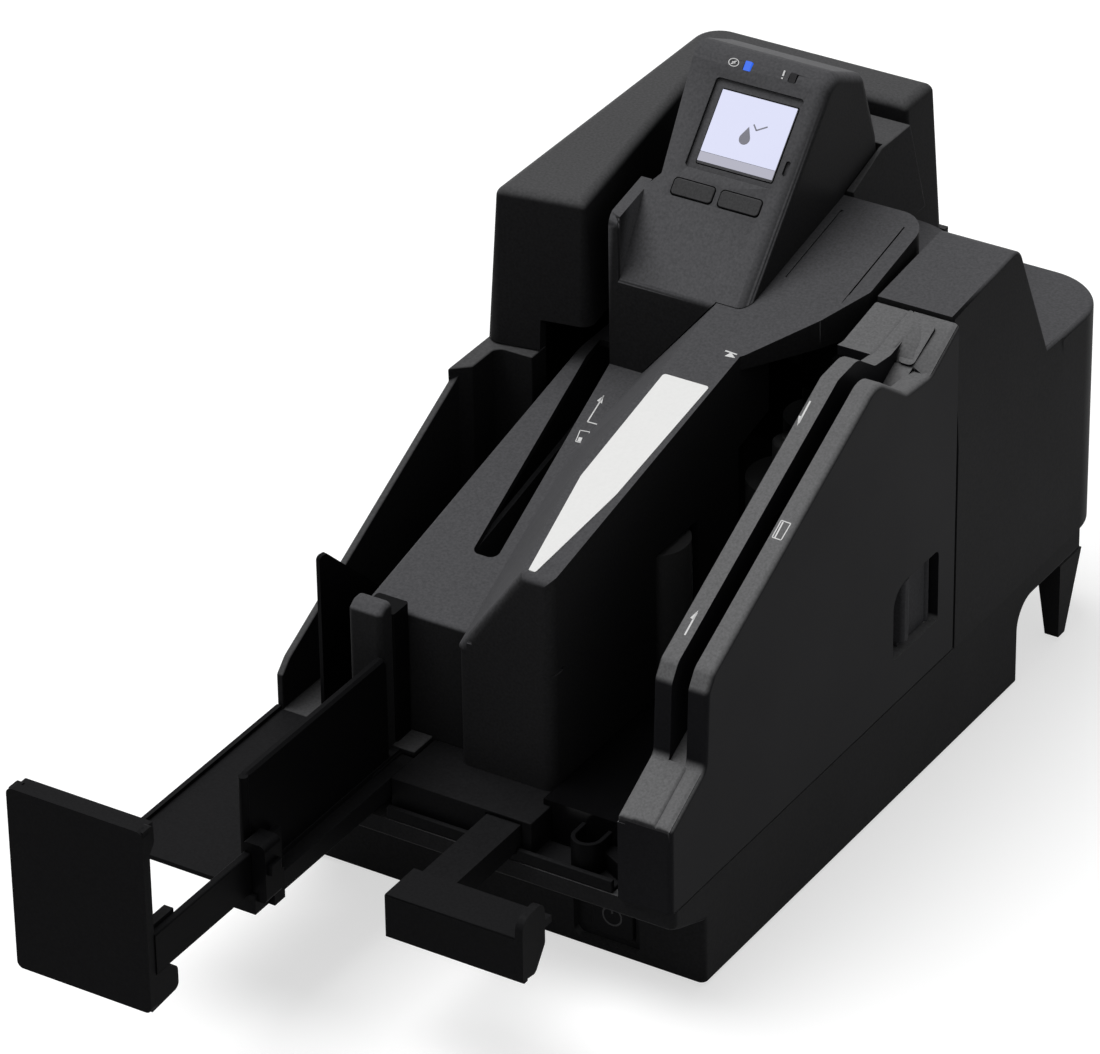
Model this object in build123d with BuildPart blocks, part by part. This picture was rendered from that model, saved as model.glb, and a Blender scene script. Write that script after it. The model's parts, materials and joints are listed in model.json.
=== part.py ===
"""Desktop cheque scanner with an edge feeder, an output pocket, a card swipe slot and a display head.

Millimetres, +Z up. The frame's origin is under the middle of the whole machine, at the height of
its rubber feet's soles. X runs across the machine and +Y points to its rear. Lengths called
"y" below are measured back from the front wall of the lower case, and fall ahead of it when negative.
"""
from build123d import *
import os
from math import atan, atan2, cos, degrees, hypot, radians, sin

os.makedirs("parts", exist_ok=True)

# ---- Case sizes --------------------------------------------------------------------------
body_width = 140.0  # case, side to side
case_depth = 183.0  # lower case, front wall to rear wall
body_depth = 240.0  # front wall to the rear-most cover
seam_height = 34.0  # top of the lower case
foot_height = 1.5  # rubber feet below the lower case
wall = 2.2  # moulded case wall
fit = 0.3  # air between neighbouring pieces
cover_seam = 0.6  # visible line between two covers
front_lip = 16.0  # lip of the lower case ahead of its front wall
rear_lip = 222.0  # rear end of the lower case's overhang
arch_height = 26.4  # underside of that overhang, over the connectors
corner_radius = 20.0  # rear right corner in plan

# ---- Document path -----------------------------------------------------------------------
track_floor = 48.0  # height at which documents stand
track_gap = 5.0  # between the two track walls
guide_height = 80.0  # track walls above the track floor
document_height = 74.0  # tallest document, with a little air
guide_wall = 1.5
track_right = 40.5  # x of the path on its way to the rear
track_left = -49.0  # x of the path on its way back to the pocket
track_rear = 202.0  # y of the path along the back
track_bend = 22.0  # radius of the path's two bends
feeder_left = 20.0  # x of the hopper's left wall
feeder_right = 53.0  # x of the hopper's right wall
feeder_end = 104.0  # y where the hopper ends
pit_left = 21.0  # x of the left side of the pit ahead of the hopper
bed_thickness = 1.8

# ---- Ridge between hopper and card slot ---------------------------------------------------
ridge_height = 142.8  # height of its top at ridge_station
ridge_station = 140.0
ridge_slope = 0.21
ridge_front = 3.0
ridge_rear = 178.0
ridge_rim = 40.5  # x of the rim over the track
deck_height = 82.8  # height of the deck's plane above the front wall
deck_slope = 0.223

# ---- Island deck, card slot and pocket ----------------------------------------------------
island_left = -45.5
island_front = 10.0
head_front = 121.0  # y of the display head's front wall
slot_width = 8.0
slot_front = 38.0
slot_rear = 132.0
deck_rear = 150.0
slot_left = -28.0  # x of the card slot's left edge at its front end
slot_lean = 0.157  # how far the slot drifts left, per mm to the rear
slot_floor = 72.0
pocket_floor = 47.0
rim_height = 111.7  # pocket rim and the parting line under the rear hood

# ---- Display head -------------------------------------------------------------------------
head_left = -33.0
head_right = 12.0
face_foot = 138.0  # height of the sloped face's lower edge
face_top = 193.2
face_depth = 50.4  # how far back the face's upper edge lies
screen_size = (25.0, 22.8)
screen_centre = (-7.5, 50.8)  # x, and distance up the sloped face
key_size = (13.4, 5.1)
key_rise = 31.0  # middle of the keys, up the sloped face
key_travel = 0.8

# ---- Swipe reader on the right --------------------------------------------------------------
swipe_front = -17.4
swipe_rear = 141.4
swipe_bottom = 34.6
swipe_slot = (58.8, 64.0)  # x of the slot's two walls
ramp_start = 61.7  # height of the slot's floor at the front face
ramp_slope = 0.517
unit_pin = (60.4, -11.5)  # x and y of the upright pin that the whole reader swings on

# ---- Trays, stacker and small moving pieces --------------------------------------------------
plate_reach = 127.0  # stacker plate's face ahead of the front wall
plate_width = 44.0
plate_height = 58.0
plate_foot = 34.0  # height of its lower edge
tray_reach = 80.0  # output tray ahead of the front wall
tray_right = -24.0
feed_reach = 64.7  # hopper extension ahead of the front wall
feed_plate = (8.0, 52.0)  # x of its two ends
shaft_radius = 2.0
bore_clearance = 0.05
pulley_share = 0.6  # a belt pulley is this share of its roller, so that all tyres run at one speed
motor_pulley_radius = 6.0
hub_radius = 4.5
belt_thickness = 1.0
button_size = (13.4, 13.2)
button_centre = (39.5, 12.8)  # x and height of the power button
button_travel = 1.2

# ---- Values that follow from the sizes above ----------------------------------------------------
half = body_width / 2
front = (plate_reach - body_depth) / 2
guide_top = track_floor + guide_height
inner = half - wall
plate_top = plate_foot + plate_height
bore_radius = shaft_radius + bore_clearance
chassis_top = seam_height + 1.2
face_angle = degrees(atan2(face_top - face_foot, face_depth))
face_length = hypot(face_top - face_foot, face_depth)
hood_axis = (body_depth - 6.5, rim_height + 4.8)


def ridge_z(y):
    """Height of the ridge's top plane."""
    return ridge_height + ridge_slope * (y - ridge_station)


def deck_z(y):
    """Height of the deck's plane, which turns level behind the display head's front wall."""
    return deck_height + deck_slope * min(y, head_front)


def ramp_z(y):
    """Height of the swipe slot's floor."""
    return ramp_start + ramp_slope * (y - swipe_front)


def slot_x(y):
    """Left edge of the card slot."""
    return slot_left - slot_lean * (y - slot_front)


def bar(x, y, z, mode=Mode.ADD):
    """Rectangular block between two x, two y and two z values."""
    with Locations((sum(x) / 2, front + sum(y) / 2, sum(z) / 2)):
        Box(x[1] - x[0], y[1] - y[0], z[1] - z[0], mode=mode)


def post(x, y, z, radius, mode=Mode.ADD):
    """Upright round post between two z values."""
    with Locations((x, front + y, sum(z) / 2)):
        Cylinder(radius, z[1] - z[0], mode=mode)


def tube(x, y, z, radius, bore):
    """Upright post with a bore through it."""
    post(x, y, z, radius)
    post(x, y, z, bore, mode=Mode.SUBTRACT)


def axle(x, y, z, radius, mode=Mode.ADD):
    """Round bar along X between two x values."""
    with Locations((sum(x) / 2, front + y, z)):
        Cylinder(radius, x[1] - x[0], rotation=(0, 90, 0), mode=mode)


def outline_on(plane, corners):
    """Face on a plane from (u, v) corners, each with its own rounding where a third value is given."""
    with BuildSketch(plane) as outline:
        with BuildLine():
            Polyline(*[corner[:2] for corner in corners], close=True)
        make_face()
        for u, v, *radius in corners:
            if radius:
                fillet(outline.vertices().sort_by_distance((u, v))[0], radius[0])
    return outline.sketch


def side_prism(corners, x, mode=Mode.ADD):
    """Prism across the machine between two x values, from (y, z) corners."""
    placed = [(front + y, *rest) for y, *rest in corners]
    extrude(outline_on(Plane.YZ.offset(x[0]), placed), amount=x[1] - x[0], mode=mode)


def plan_prism(corners, z, mode=Mode.ADD, taper=0.0):
    """Upright prism between two z values, from (x, y) corners."""
    placed = [(x, front + y, *rest) for x, y, *rest in corners]
    extrude(outline_on(Plane.XY.offset(z[0]), placed), amount=z[1] - z[0], taper=taper, mode=mode)


def front_prism(corners, y, mode=Mode.ADD):
    """Prism from front to rear between two y values, from (x, z) corners."""
    plane = Plane(origin=(0, front + y[0], 0), x_dir=(1, 0, 0), z_dir=(0, -1, 0))
    extrude(outline_on(plane, corners), amount=-(y[1] - y[0]), mode=mode)


def finish(builder, name):
    """Label a finished piece and write it to its own file."""
    builder.part.label = name
    export_step(builder.part, f"parts/{name}.step")


# ============================== Lower case and what it holds ==============================
boss_places = [(-60, 14), (44, 14), (-60, 172), (44, 172)]
foot_places = [(-56, 16), (56, 16), (-56, 167), (56, 167)]
foot_radius = 6.0
foot_recess = 0.8
boss_radius = 3.6
screw_radius = 1.2
case_floor = foot_height + wall
leg_bottom = 2.0
board_top = 10.0
jack_radius = 3.2
jack_x = -48.0
socket_places = ((8.0, 13.0), (30.0, 12.0))  # x and width of the two data sockets
rear_wall_y = (case_depth - wall, case_depth)

with BuildPart() as base_pan:
    side_prism(
        [
            (0, foot_height),
            (case_depth, foot_height),
            (case_depth, arch_height, 8),
            (rear_lip, arch_height),
            (rear_lip, seam_height),
            (-front_lip, seam_height),
            (-front_lip, seam_height - 5.5, 1),
            (-front_lip + 4, seam_height - 7.5, 1),
            (0, seam_height - 12),
        ],
        (-half, half),
    )
    fillet(base_pan.edges().filter_by(Axis.Z), 2.0)
    bar((-inner, inner), (wall, case_depth - wall), (case_floor, seam_height), mode=Mode.SUBTRACT)
    bar((-inner, inner), (case_depth, rear_lip - wall), (arch_height + wall, seam_height), mode=Mode.SUBTRACT)
    for hand in (-1, 1):
        leg_top = outline_on(
            Plane.XY.offset(arch_height + 0.4),
            [(hand * half, front + rear_lip - 13.5), (hand * half, front + rear_lip),
             (hand * (half - 8.4), front + rear_lip), (hand * (half - 8.4), front + rear_lip - 13.5)],
        )
        leg_sole = outline_on(
            Plane.XY.offset(leg_bottom),
            [(hand * half, front + rear_lip - 13.5), (hand * half, front + rear_lip - 9.5),
             (hand * (half - 4.6), front + rear_lip - 9.5), (hand * (half - 4.6), front + rear_lip - 13.5)],
        )
        loft([leg_top, leg_sole])
    for x, y in boss_places:
        post(x, y, (case_floor - 0.5, seam_height), boss_radius)
        post(x, y, (case_floor + 6, seam_height + 1), screw_radius + bore_clearance, mode=Mode.SUBTRACT)
    for x, y in foot_places:
        post(x, y, (foot_height - 1, foot_height + foot_recess), foot_radius + fit, mode=Mode.SUBTRACT)
    # well around the power button, with a thicker wall behind it
    well_x = (button_centre[0] - button_size[0] / 2 - 5, button_centre[0] + button_size[0] / 2 + 3)
    well_z = (button_centre[1] - button_size[1] / 2 - 2.6, button_centre[1] + button_size[1] / 2 + 2.6)
    bar((well_x[0] - 2, well_x[1] + 2), (wall - 0.5, wall + 3), (case_floor - 0.5, well_z[1] + 2))
    front_prism(
        [(well_x[0], well_z[0], 2.5), (well_x[1], well_z[0], 2.5), (well_x[1], well_z[1], 2.5),
         (well_x[0], well_z[1], 2.5)],
        (-0.5, 2.6), mode=Mode.SUBTRACT,
    )
    button_hole = [sign * (size / 2 + fit) + centre for size, centre in zip(button_size, button_centre)
                   for sign in (-1, 1)]
    bar(button_hole[0:2], (2, wall + 4), button_hole[2:4], mode=Mode.SUBTRACT)
    # openings for the supply jack and the two data sockets
    with Locations((jack_x, front + case_depth - wall / 2, board_top + 5.5)):
        Cylinder(jack_radius + fit, wall + 2, rotation=(90, 0, 0), mode=Mode.SUBTRACT)
    for x, width in socket_places:
        bar((x - width / 2 - fit, x + width / 2 + fit), (rear_wall_y[0] - 1, rear_wall_y[1] + 1),
            (board_top, board_top + 8), mode=Mode.SUBTRACT)
    # socket for the swipe unit's hinge pin
    post(*unit_pin, (seam_height - 5, seam_height + 1), bore_radius, mode=Mode.SUBTRACT)
finish(base_pan, "base_pan")

with BuildPart() as rubber_feet:
    for x, y in foot_places:
        post(x, y, (0, foot_height + foot_recess), foot_radius)
    chamfer(rubber_feet.edges().group_by(Axis.Z)[0], 0.5)
finish(rubber_feet, "rubber_feet")

plate_right = feeder_right - 1.0
motor_place = (-30.0, 140.0)
motor_half = 17.5
with BuildPart() as chassis_plate:
    plan_prism(
        [(-inner + fit, island_front), (plate_right, island_front), (plate_right, swipe_rear + 1.2),
         (inner - fit, swipe_rear + 1.2), (inner - fit, 204), (-inner + fit, 204)],
        (seam_height, chassis_top),
    )
    for x, y in boss_places:
        post(x, y, (seam_height - 1, chassis_top + 1), screw_radius + bore_clearance, mode=Mode.SUBTRACT)
    post(*motor_place, (seam_height - 1, chassis_top + 1), shaft_radius + 1.0, mode=Mode.SUBTRACT)
finish(chassis_plate, "chassis_plate")

with BuildPart() as case_screws:
    for x, y in boss_places:
        post(x, y, (case_floor + 8, chassis_top), screw_radius)
        post(x, y, (chassis_top, chassis_top + 1.8), 2.6)
        with Locations((x, front + y, chassis_top + 1.8)):
            Box(3.4, 0.7, 1.6, mode=Mode.SUBTRACT)
            Box(0.7, 3.4, 1.6, mode=Mode.SUBTRACT)
finish(case_screws, "case_screws")

board_x = (-62.0, 50.0)
board_y = (108.0, case_depth - wall - 0.6)
with BuildPart() as main_board:
    bar(board_x, board_y, (board_top - 1.6, board_top))
    for x, y, width, length, rise in ((-30, 150, 18, 18, 2.2), (5, 135, 12, 8, 1.6), (30, 140, 8, 8, 1.6),
                                      (-50, 125, 8, 14, 3.0), (-10, 158, 10, 7, 1.6)):
        bar((x - width / 2, x + width / 2), (y - length / 2, y + length / 2), (board_top, board_top + rise))
    for x in (-57, 45):
        for y in (113, 160):
            post(x, y, (case_floor, board_top - 1.6), 2.6)
    for x, y in boss_places:
        post(x, y, (board_top - 3, board_top + 1), boss_radius + 0.8, mode=Mode.SUBTRACT)
finish(main_board, "main_board")

with BuildPart() as supply_jack:
    bar((jack_x - 4.5, jack_x + 4.5), (case_depth - 15, case_depth - wall - 0.4), (board_top, board_top + 11))
    with Locations((jack_x, front + case_depth - wall / 2 - 0.5, board_top + 5.5)):
        Cylinder(jack_radius, wall + 1, rotation=(90, 0, 0))
    with Locations((jack_x, front + case_depth - 6, board_top + 5.5)):
        Cylinder(2.75, 14, rotation=(90, 0, 0), mode=Mode.SUBTRACT)
    with Locations((jack_x, front + case_depth - 7, board_top + 5.5)):
        Cylinder(1.0, 13, rotation=(90, 0, 0))
finish(supply_jack, "supply_jack")

with BuildPart() as data_sockets:
    for x, width in socket_places:
        bar((x - width / 2, x + width / 2), (case_depth - 16, case_depth - 0.6), (board_top, board_top + 7.4))
        bar((x - width / 2 + 0.6, x + width / 2 - 0.6), (case_depth - 13, case_depth),
            (board_top + 0.8, board_top + 6.6), mode=Mode.SUBTRACT)
        bar((x - width / 2 + 2.2, x + width / 2 - 2.2), (case_depth - 13, case_depth - 3),
            (board_top + 3, board_top + 4.6))
finish(data_sockets, "data_sockets")

with BuildPart() as power_button:
    button_x = (button_centre[0] - button_size[0] / 2, button_centre[0] + button_size[0] / 2)
    button_z = (button_centre[1] - button_size[1] / 2, button_centre[1] + button_size[1] / 2)
    bar(button_x, (1.4, 6.0), button_z)
    fillet(power_button.edges().filter_by(Axis.Y), 1.2)
    fillet(power_button.faces().sort_by(Axis.Y)[0].edges(), 0.4)
    bar((button_x[0] - 1, button_x[1] + 1), (6.0, 7.2), (button_z[0] - 1, button_z[1] + 1))
finish(power_button, "power_button")

# motor under the chassis, turning the belt above it
with BuildPart() as feed_motor:
    bar((motor_place[0] - motor_half, motor_place[0] + motor_half),
        (motor_place[1] - motor_half, motor_place[1] + motor_half), (seam_height - 20, seam_height))
    chamfer(feed_motor.edges().filter_by(Axis.Z), 3.0)
    post(*motor_place, (seam_height - 1, chassis_top + 9.5), shaft_radius)
finish(feed_motor, "feed_motor")

# ============================== Rollers and the belt ==============================
# name: x, y, radius, height range of the tyres, driven by the belt or not
tyre_bands = [(56.0, 66.0), (88.0, 98.0)]
hopper_band = [(54.0, 92.0)]
hub_top = 104.0
belt_z = (chassis_top + 3.0, chassis_top + 8.0)
drive_reach = 0.15  # a driven tyre stops this short of the path's middle line
drive_radius = 10.2
pinch_radius = 8.4
retard_radius = 6.1
drive_offset = drive_radius + drive_reach
pinch_offset = pinch_radius + drive_reach
retard_offset = retard_radius + drive_reach
feed_radius = 12.2
pick_radius = 11.0
pick_place = (feeder_left - pick_radius + 3.0, 70.0)
feed_place = (track_right - feed_radius - drive_reach, 118.0)
retard_place = (track_right + retard_offset, 118.0)
right_place = (track_right - drive_offset, 160.0)
right_pinch_place = (track_right + pinch_offset, 160.0)
rear_place = (-4.0, track_rear - drive_offset)
rear_pinch_place = (-4.0, track_rear + pinch_offset)
exit_place = (track_left + drive_offset, 167.0)
exit_pinch_place = (track_left - pinch_offset, 167.0)
driven = {
    "pick_roller": (pick_place, pick_radius, hopper_band),
    "feed_roller": (feed_place, feed_radius, hopper_band),
    "right_drive_roller": (right_place, drive_radius, tyre_bands),
    "rear_drive_roller": (rear_place, drive_radius, tyre_bands),
    "exit_drive_roller": (exit_place, drive_radius, tyre_bands),
}
pressed = {
    "retard_roller": (retard_place, retard_radius, hopper_band),
    "right_pinch_roller": (right_pinch_place, pinch_radius, tyre_bands),
    "rear_pinch_roller": (rear_pinch_place, pinch_radius, tyre_bands),
    "exit_pinch_roller": (exit_pinch_place, pinch_radius, tyre_bands),
}

for roller_name, (place, radius, bands) in driven.items():
    with BuildPart() as roller:
        post(*place, (belt_z[0] - 1.5, hub_top), hub_radius)
        post(*place, (belt_z[0] - 0.5, belt_z[1] + 0.5), pulley_share * radius)
        for band in bands:
            post(*place, band, radius)
        chamfer(roller.edges().filter_by(GeomType.CIRCLE).group_by(Axis.Z)[-1], 0.5)
        post(*place, (belt_z[0] - 2, hub_top + 1), bore_radius, mode=Mode.SUBTRACT)
    finish(roller, roller_name)

for roller_name, (place, radius, bands) in pressed.items():
    with BuildPart() as roller:
        post(*place, (track_floor + 1, hub_top), 3.6)
        for band in bands:
            post(*place, band, radius)
        post(*place, (track_floor, hub_top + 1), bore_radius, mode=Mode.SUBTRACT)
    finish(roller, roller_name)

with BuildPart() as motor_pulley:
    post(*motor_place, (belt_z[0] - 1, belt_z[1] + 1), motor_pulley_radius)
    post(*motor_place, (belt_z[0] - 2, belt_z[1] + 2), bore_radius, mode=Mode.SUBTRACT)
finish(motor_pulley, "motor_pulley")

with BuildPart() as roller_shafts:
    for place, _, _ in list(driven.values()) + list(pressed.values()):
        post(*place, (chassis_top, hub_top + 1.5), shaft_radius)
finish(roller_shafts, "roller_shafts")

belt_wheels = [(place, pulley_share * radius) for place, radius, _ in driven.values()]
belt_wheels.append((motor_place, motor_pulley_radius))
with BuildPart() as drive_belt:
    loops = []
    for grow in (fit + belt_thickness, fit):
        with BuildSketch(Plane.XY.offset(belt_z[0])) as belt_loop:
            for (x, y), wheel_radius in belt_wheels:
                with Locations((x, front + y)):
                    Circle(wheel_radius + grow)
            make_hull()
        loops.append(belt_loop.sketch)
    extrude(loops[0], amount=belt_z[1] - belt_z[0])
    extrude(loops[1], amount=belt_z[1] - belt_z[0], mode=Mode.SUBTRACT)
finish(drive_belt, "drive_belt")

# ============================== Track bed and track walls ==============================


def track_outline(grow, z, height, y_start, mode=Mode.ADD):
    """Upright block inside the U-shaped path, grown outwards from the path's middle line."""
    corners = [
        (track_left - grow, y_start),
        (track_right + grow, y_start),
        (track_right + grow, track_rear + grow, track_bend + grow),
        (track_left - grow, track_rear + grow, track_bend + grow),
    ]
    plan_prism(corners, (z, z + height), mode=mode)


track_start = 128.0  # y where the right-hand track walls begin
exit_end = 136.0  # y where the left-hand walls end
bed_z = (track_floor - bed_thickness, track_floor)
with BuildPart() as track_bed:
    track_outline(track_gap / 2 + guide_wall, bed_z[0], bed_thickness, feeder_end)
    bar((track_left - 5, island_left + 2), (feeder_end - 1, 118.5), (bed_z[0] - 1, bed_z[1] + 1), mode=Mode.SUBTRACT)
    bar((feeder_left + fit, feeder_right - fit), (-3, feeder_end + 1), bed_z)
    bar((track_right, feeder_right - fit), (feeder_end, swipe_rear), bed_z)
    bar((island_left - 5, feeder_left + fit), (feeder_end - 1, 150.3), (bed_z[0] - 1, bed_z[1] + 1), mode=Mode.SUBTRACT)
    for x, y in ((25, 20), (48, 20), (48, 90), (38, 70), (-20, 165), (6, 180), (48, 135)):
        post(x, y, (chassis_top, bed_z[1]), 3)
    bar((pit_left + 1.5 + fit, feeder_right - fit), (-3, -1.2), (chassis_top, bed_z[1]))
    for place, _, _ in driven.values():
        post(*place, (bed_z[0] - 1, bed_z[1] + 1), hub_radius + 0.6, mode=Mode.SUBTRACT)
    for place, _, _ in pressed.values():
        post(*place, (bed_z[0] - 1, bed_z[1] + 1), shaft_radius + fit, mode=Mode.SUBTRACT)
finish(track_bed, "track_bed")


def roller_windows(rollers, bands_margin=1.5):
    """Clear the walls around each roller over its own tyres and hub."""
    for place, radius, bands in rollers.values():
        post(*place, (bands[0][0] - bands_margin, bands[-1][1] + bands_margin), radius + 1.0, mode=Mode.SUBTRACT)


inner_face = -track_gap / 2
outer_face = track_gap / 2
shelf_z = (106.5, 108.0)
cartridge_x = (17.0, 32.0)
cartridge_y = (144.0, 168.0)
with BuildPart() as inner_guide:
    track_outline(inner_face, track_floor, guide_height, track_start)
    track_outline(inner_face - guide_wall, track_floor - 1, guide_height + 2, track_start - 1, mode=Mode.SUBTRACT)
    bar((track_left, -30), (track_start - 1, deck_rear + 1), (track_floor - 1, guide_top + 1), mode=Mode.SUBTRACT)
    roller_windows(driven)
    # bracket that carries the print cartridge over the right-hand roller
    bar((cartridge_x[0] - 2, track_right + inner_face - 0.5), (cartridge_y[0] - 2, cartridge_y[1] + 2), shelf_z)
finish(inner_guide, "inner_guide")

with BuildPart() as outer_guide:
    track_outline(outer_face + guide_wall, track_floor, guide_height, swipe_rear + 1.2)
    track_outline(outer_face, track_floor - 1, guide_height + 2, track_start - 8, mode=Mode.SUBTRACT)
    bar((track_left - outer_face - guide_wall, track_left - outer_face), (exit_end, swipe_rear + 2),
        (track_floor, guide_top))
    roller_windows(pressed)
finish(outer_guide, "outer_guide")

# block that closes the hopper's right side behind the pusher and carries the retard roller
block_left = track_right + outer_face
with BuildPart() as separator_block:
    plan_prism(
        [(block_left + 3, feeder_end + 2), (feeder_right - fit, feeder_end + 2), (feeder_right - fit, swipe_rear),
         (block_left, swipe_rear), (block_left, feeder_end + 10, 3)],
        (track_floor, guide_top),
    )
    bar((block_left + wall, feeder_right - fit - wall), (124, swipe_rear - wall), (track_floor + wall, guide_top + 1),
        mode=Mode.SUBTRACT)
    retard_window = retard_radius + 1.0
    bar((block_left - 4, feeder_right), (retard_place[1] - retard_window, retard_place[1] + retard_window),
        (track_floor - 1, hub_top + 2), mode=Mode.SUBTRACT)
finish(separator_block, "separator_block")

with BuildPart() as scan_bars:
    bar((8, 15), (183, 193), (track_floor, guide_top - 2))
    bar((-31, -18), (track_rear + outer_face + guide_wall + fit, 212), (track_floor, guide_top - 2))
    bar((-31, -18), (track_rear + outer_face + guide_wall + fit, 212), (chassis_top, track_floor))
finish(scan_bars, "scan_bars")

with BuildPart() as ink_reader_head:
    bar((28, track_right + inner_face - guide_wall - fit), (131, 143), (track_floor, 68))
    fillet(ink_reader_head.edges().filter_by(Axis.Z), 1.0)
finish(ink_reader_head, "ink_reader_head")

# ============================== Island deck with the card slot ==============================
slot_wall = 1.6
island_right = -10.0
with BuildPart() as island_deck:
    side_prism(
        [(island_front, chassis_top), (deck_rear, chassis_top), (deck_rear, deck_z(deck_rear)),
         (head_front, deck_z(head_front)), (island_front, deck_z(island_front))],
        (island_left, island_right),
    )
    fillet(island_deck.edges().filter_by(Axis.Z).sort_by(Axis.X)[0:2].sort_by(Axis.Y)[0], 2.5)
    top_edges = island_deck.edges().filter_by(
        lambda edge: edge.center().Z > deck_z(island_front) - 0.5 and (
            abs(edge.center().Y - front - island_front) < 0.01 or abs(edge.center().X - island_left) < 0.01)
        and edge.center().Y < front + head_front)
    fillet(top_edges.filter_by(Axis.X), 1.5)
    side_prism(
        [(island_front + wall, chassis_top - 1), (deck_rear + 1, chassis_top - 1),
         (deck_rear + 1, deck_z(deck_rear) - wall), (head_front, deck_z(head_front) - wall),
         (island_front + wall, deck_z(island_front + wall) - wall)],
        (island_left + wall, island_right + 1), mode=Mode.SUBTRACT,
    )
    # the slot is a narrow well that leans a little to the left on its way back
    well = [(slot_x(y) + side * slot_width + sign * slot_wall, y)
            for y, side, sign in ((slot_front - slot_wall, 0, -1), (slot_front - slot_wall, 1, 1),
                                  (slot_rear + slot_wall, 1, 1), (slot_rear + slot_wall, 0, -1))]
    plan_prism(well, (slot_floor - slot_wall, deck_z(slot_front) - 1))
    slot = [(slot_x(slot_front), slot_front, 2.5), (slot_x(slot_front) + slot_width, slot_front, 2.5),
            (slot_x(slot_rear) + slot_width, slot_rear), (slot_x(slot_rear), slot_rear)]
    plan_prism(slot, (slot_floor, rim_height + 4), mode=Mode.SUBTRACT)
    # lugs for the stack flap's pin
    for z in (pocket_floor + 2.0, pocket_floor + 27.0):
        bar((island_left - 4.2, island_left + 0.5), (31, 36), (z, z + 1.8))
    post(island_left - 2.4, 33.5, (pocket_floor, pocket_floor + 30), 1.05, mode=Mode.SUBTRACT)
finish(island_deck, "island_deck")

# ============================== Ridge over the hopper ==============================
# stations along the ridge: y, x of its left foot on the deck, x of its top's left edge
ridge_stations = [(ridge_front, -11.2, 10.2), (29.8, -15.3, 4.6), (46.0, -17.8, 2.2), (82.8, -23.4, 2.0),
                  (head_front, -22.0, 2.0)]


def ridge_section(y, foot_x, top_x, inset):
    """Cross-section of the ridge at one station, or of its hollow when inset by a wall."""
    plane = Plane(origin=(0, front + y, 0), x_dir=(1, 0, 0), z_dir=(0, -1, 0))
    if inset:
        corners = [(foot_x + 1.3 * inset, deck_z(y) - 1), (foot_x + 1.3 * inset, deck_z(y)),
                   (top_x + 0.5 * inset, ridge_z(y) - inset), (feeder_left - inset, ridge_z(y) - inset),
                   (feeder_left - inset, deck_z(y) - 1)]
    else:
        corners = [(foot_x, deck_z(y)), (top_x, ridge_z(y)), (feeder_left, ridge_z(y)), (feeder_left, deck_z(y))]
    return outline_on(plane, corners)


ridge_tilt = degrees(atan(ridge_slope))
ridge_plane = Plane(origin=(0, front + ridge_station, ridge_height), x_dir=(1, 0, 0),
                    z_dir=(0, -sin(radians(ridge_tilt)), cos(radians(ridge_tilt))))
lid_x = (14.8, 35.2)
lid_y = (140.0, 171.5)
lid_thickness = 1.8
lid_pin = 0.6


def along(y):
    """Distance along the ridge plane from its station to a given y."""
    return (y - ridge_station) / cos(radians(ridge_tilt))


lid_reach = along(lid_y[1]) - lid_thickness / 2
lid_axis = (ridge_station + lid_reach * cos(radians(ridge_tilt)) + lid_thickness / 2 * sin(radians(ridge_tilt)),
            ridge_height + lid_reach * sin(radians(ridge_tilt)) - lid_thickness / 2 * cos(radians(ridge_tilt)))


def lid_block(gap, depth, top=0.0, mode=Mode.ADD):
    """Block in the ridge plane with the lid's outline, grown by a gap."""
    outline = outline_on(ridge_plane.offset(top), [
        (lid_x[0] - gap, along(lid_y[0]) - gap), (lid_x[1] + gap, along(lid_y[0]) - gap),
        (lid_x[1] + gap, along(lid_y[1]) + gap), (lid_x[0] - gap, along(lid_y[1]) + gap)])
    extrude(outline, amount=-depth, mode=mode)


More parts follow.
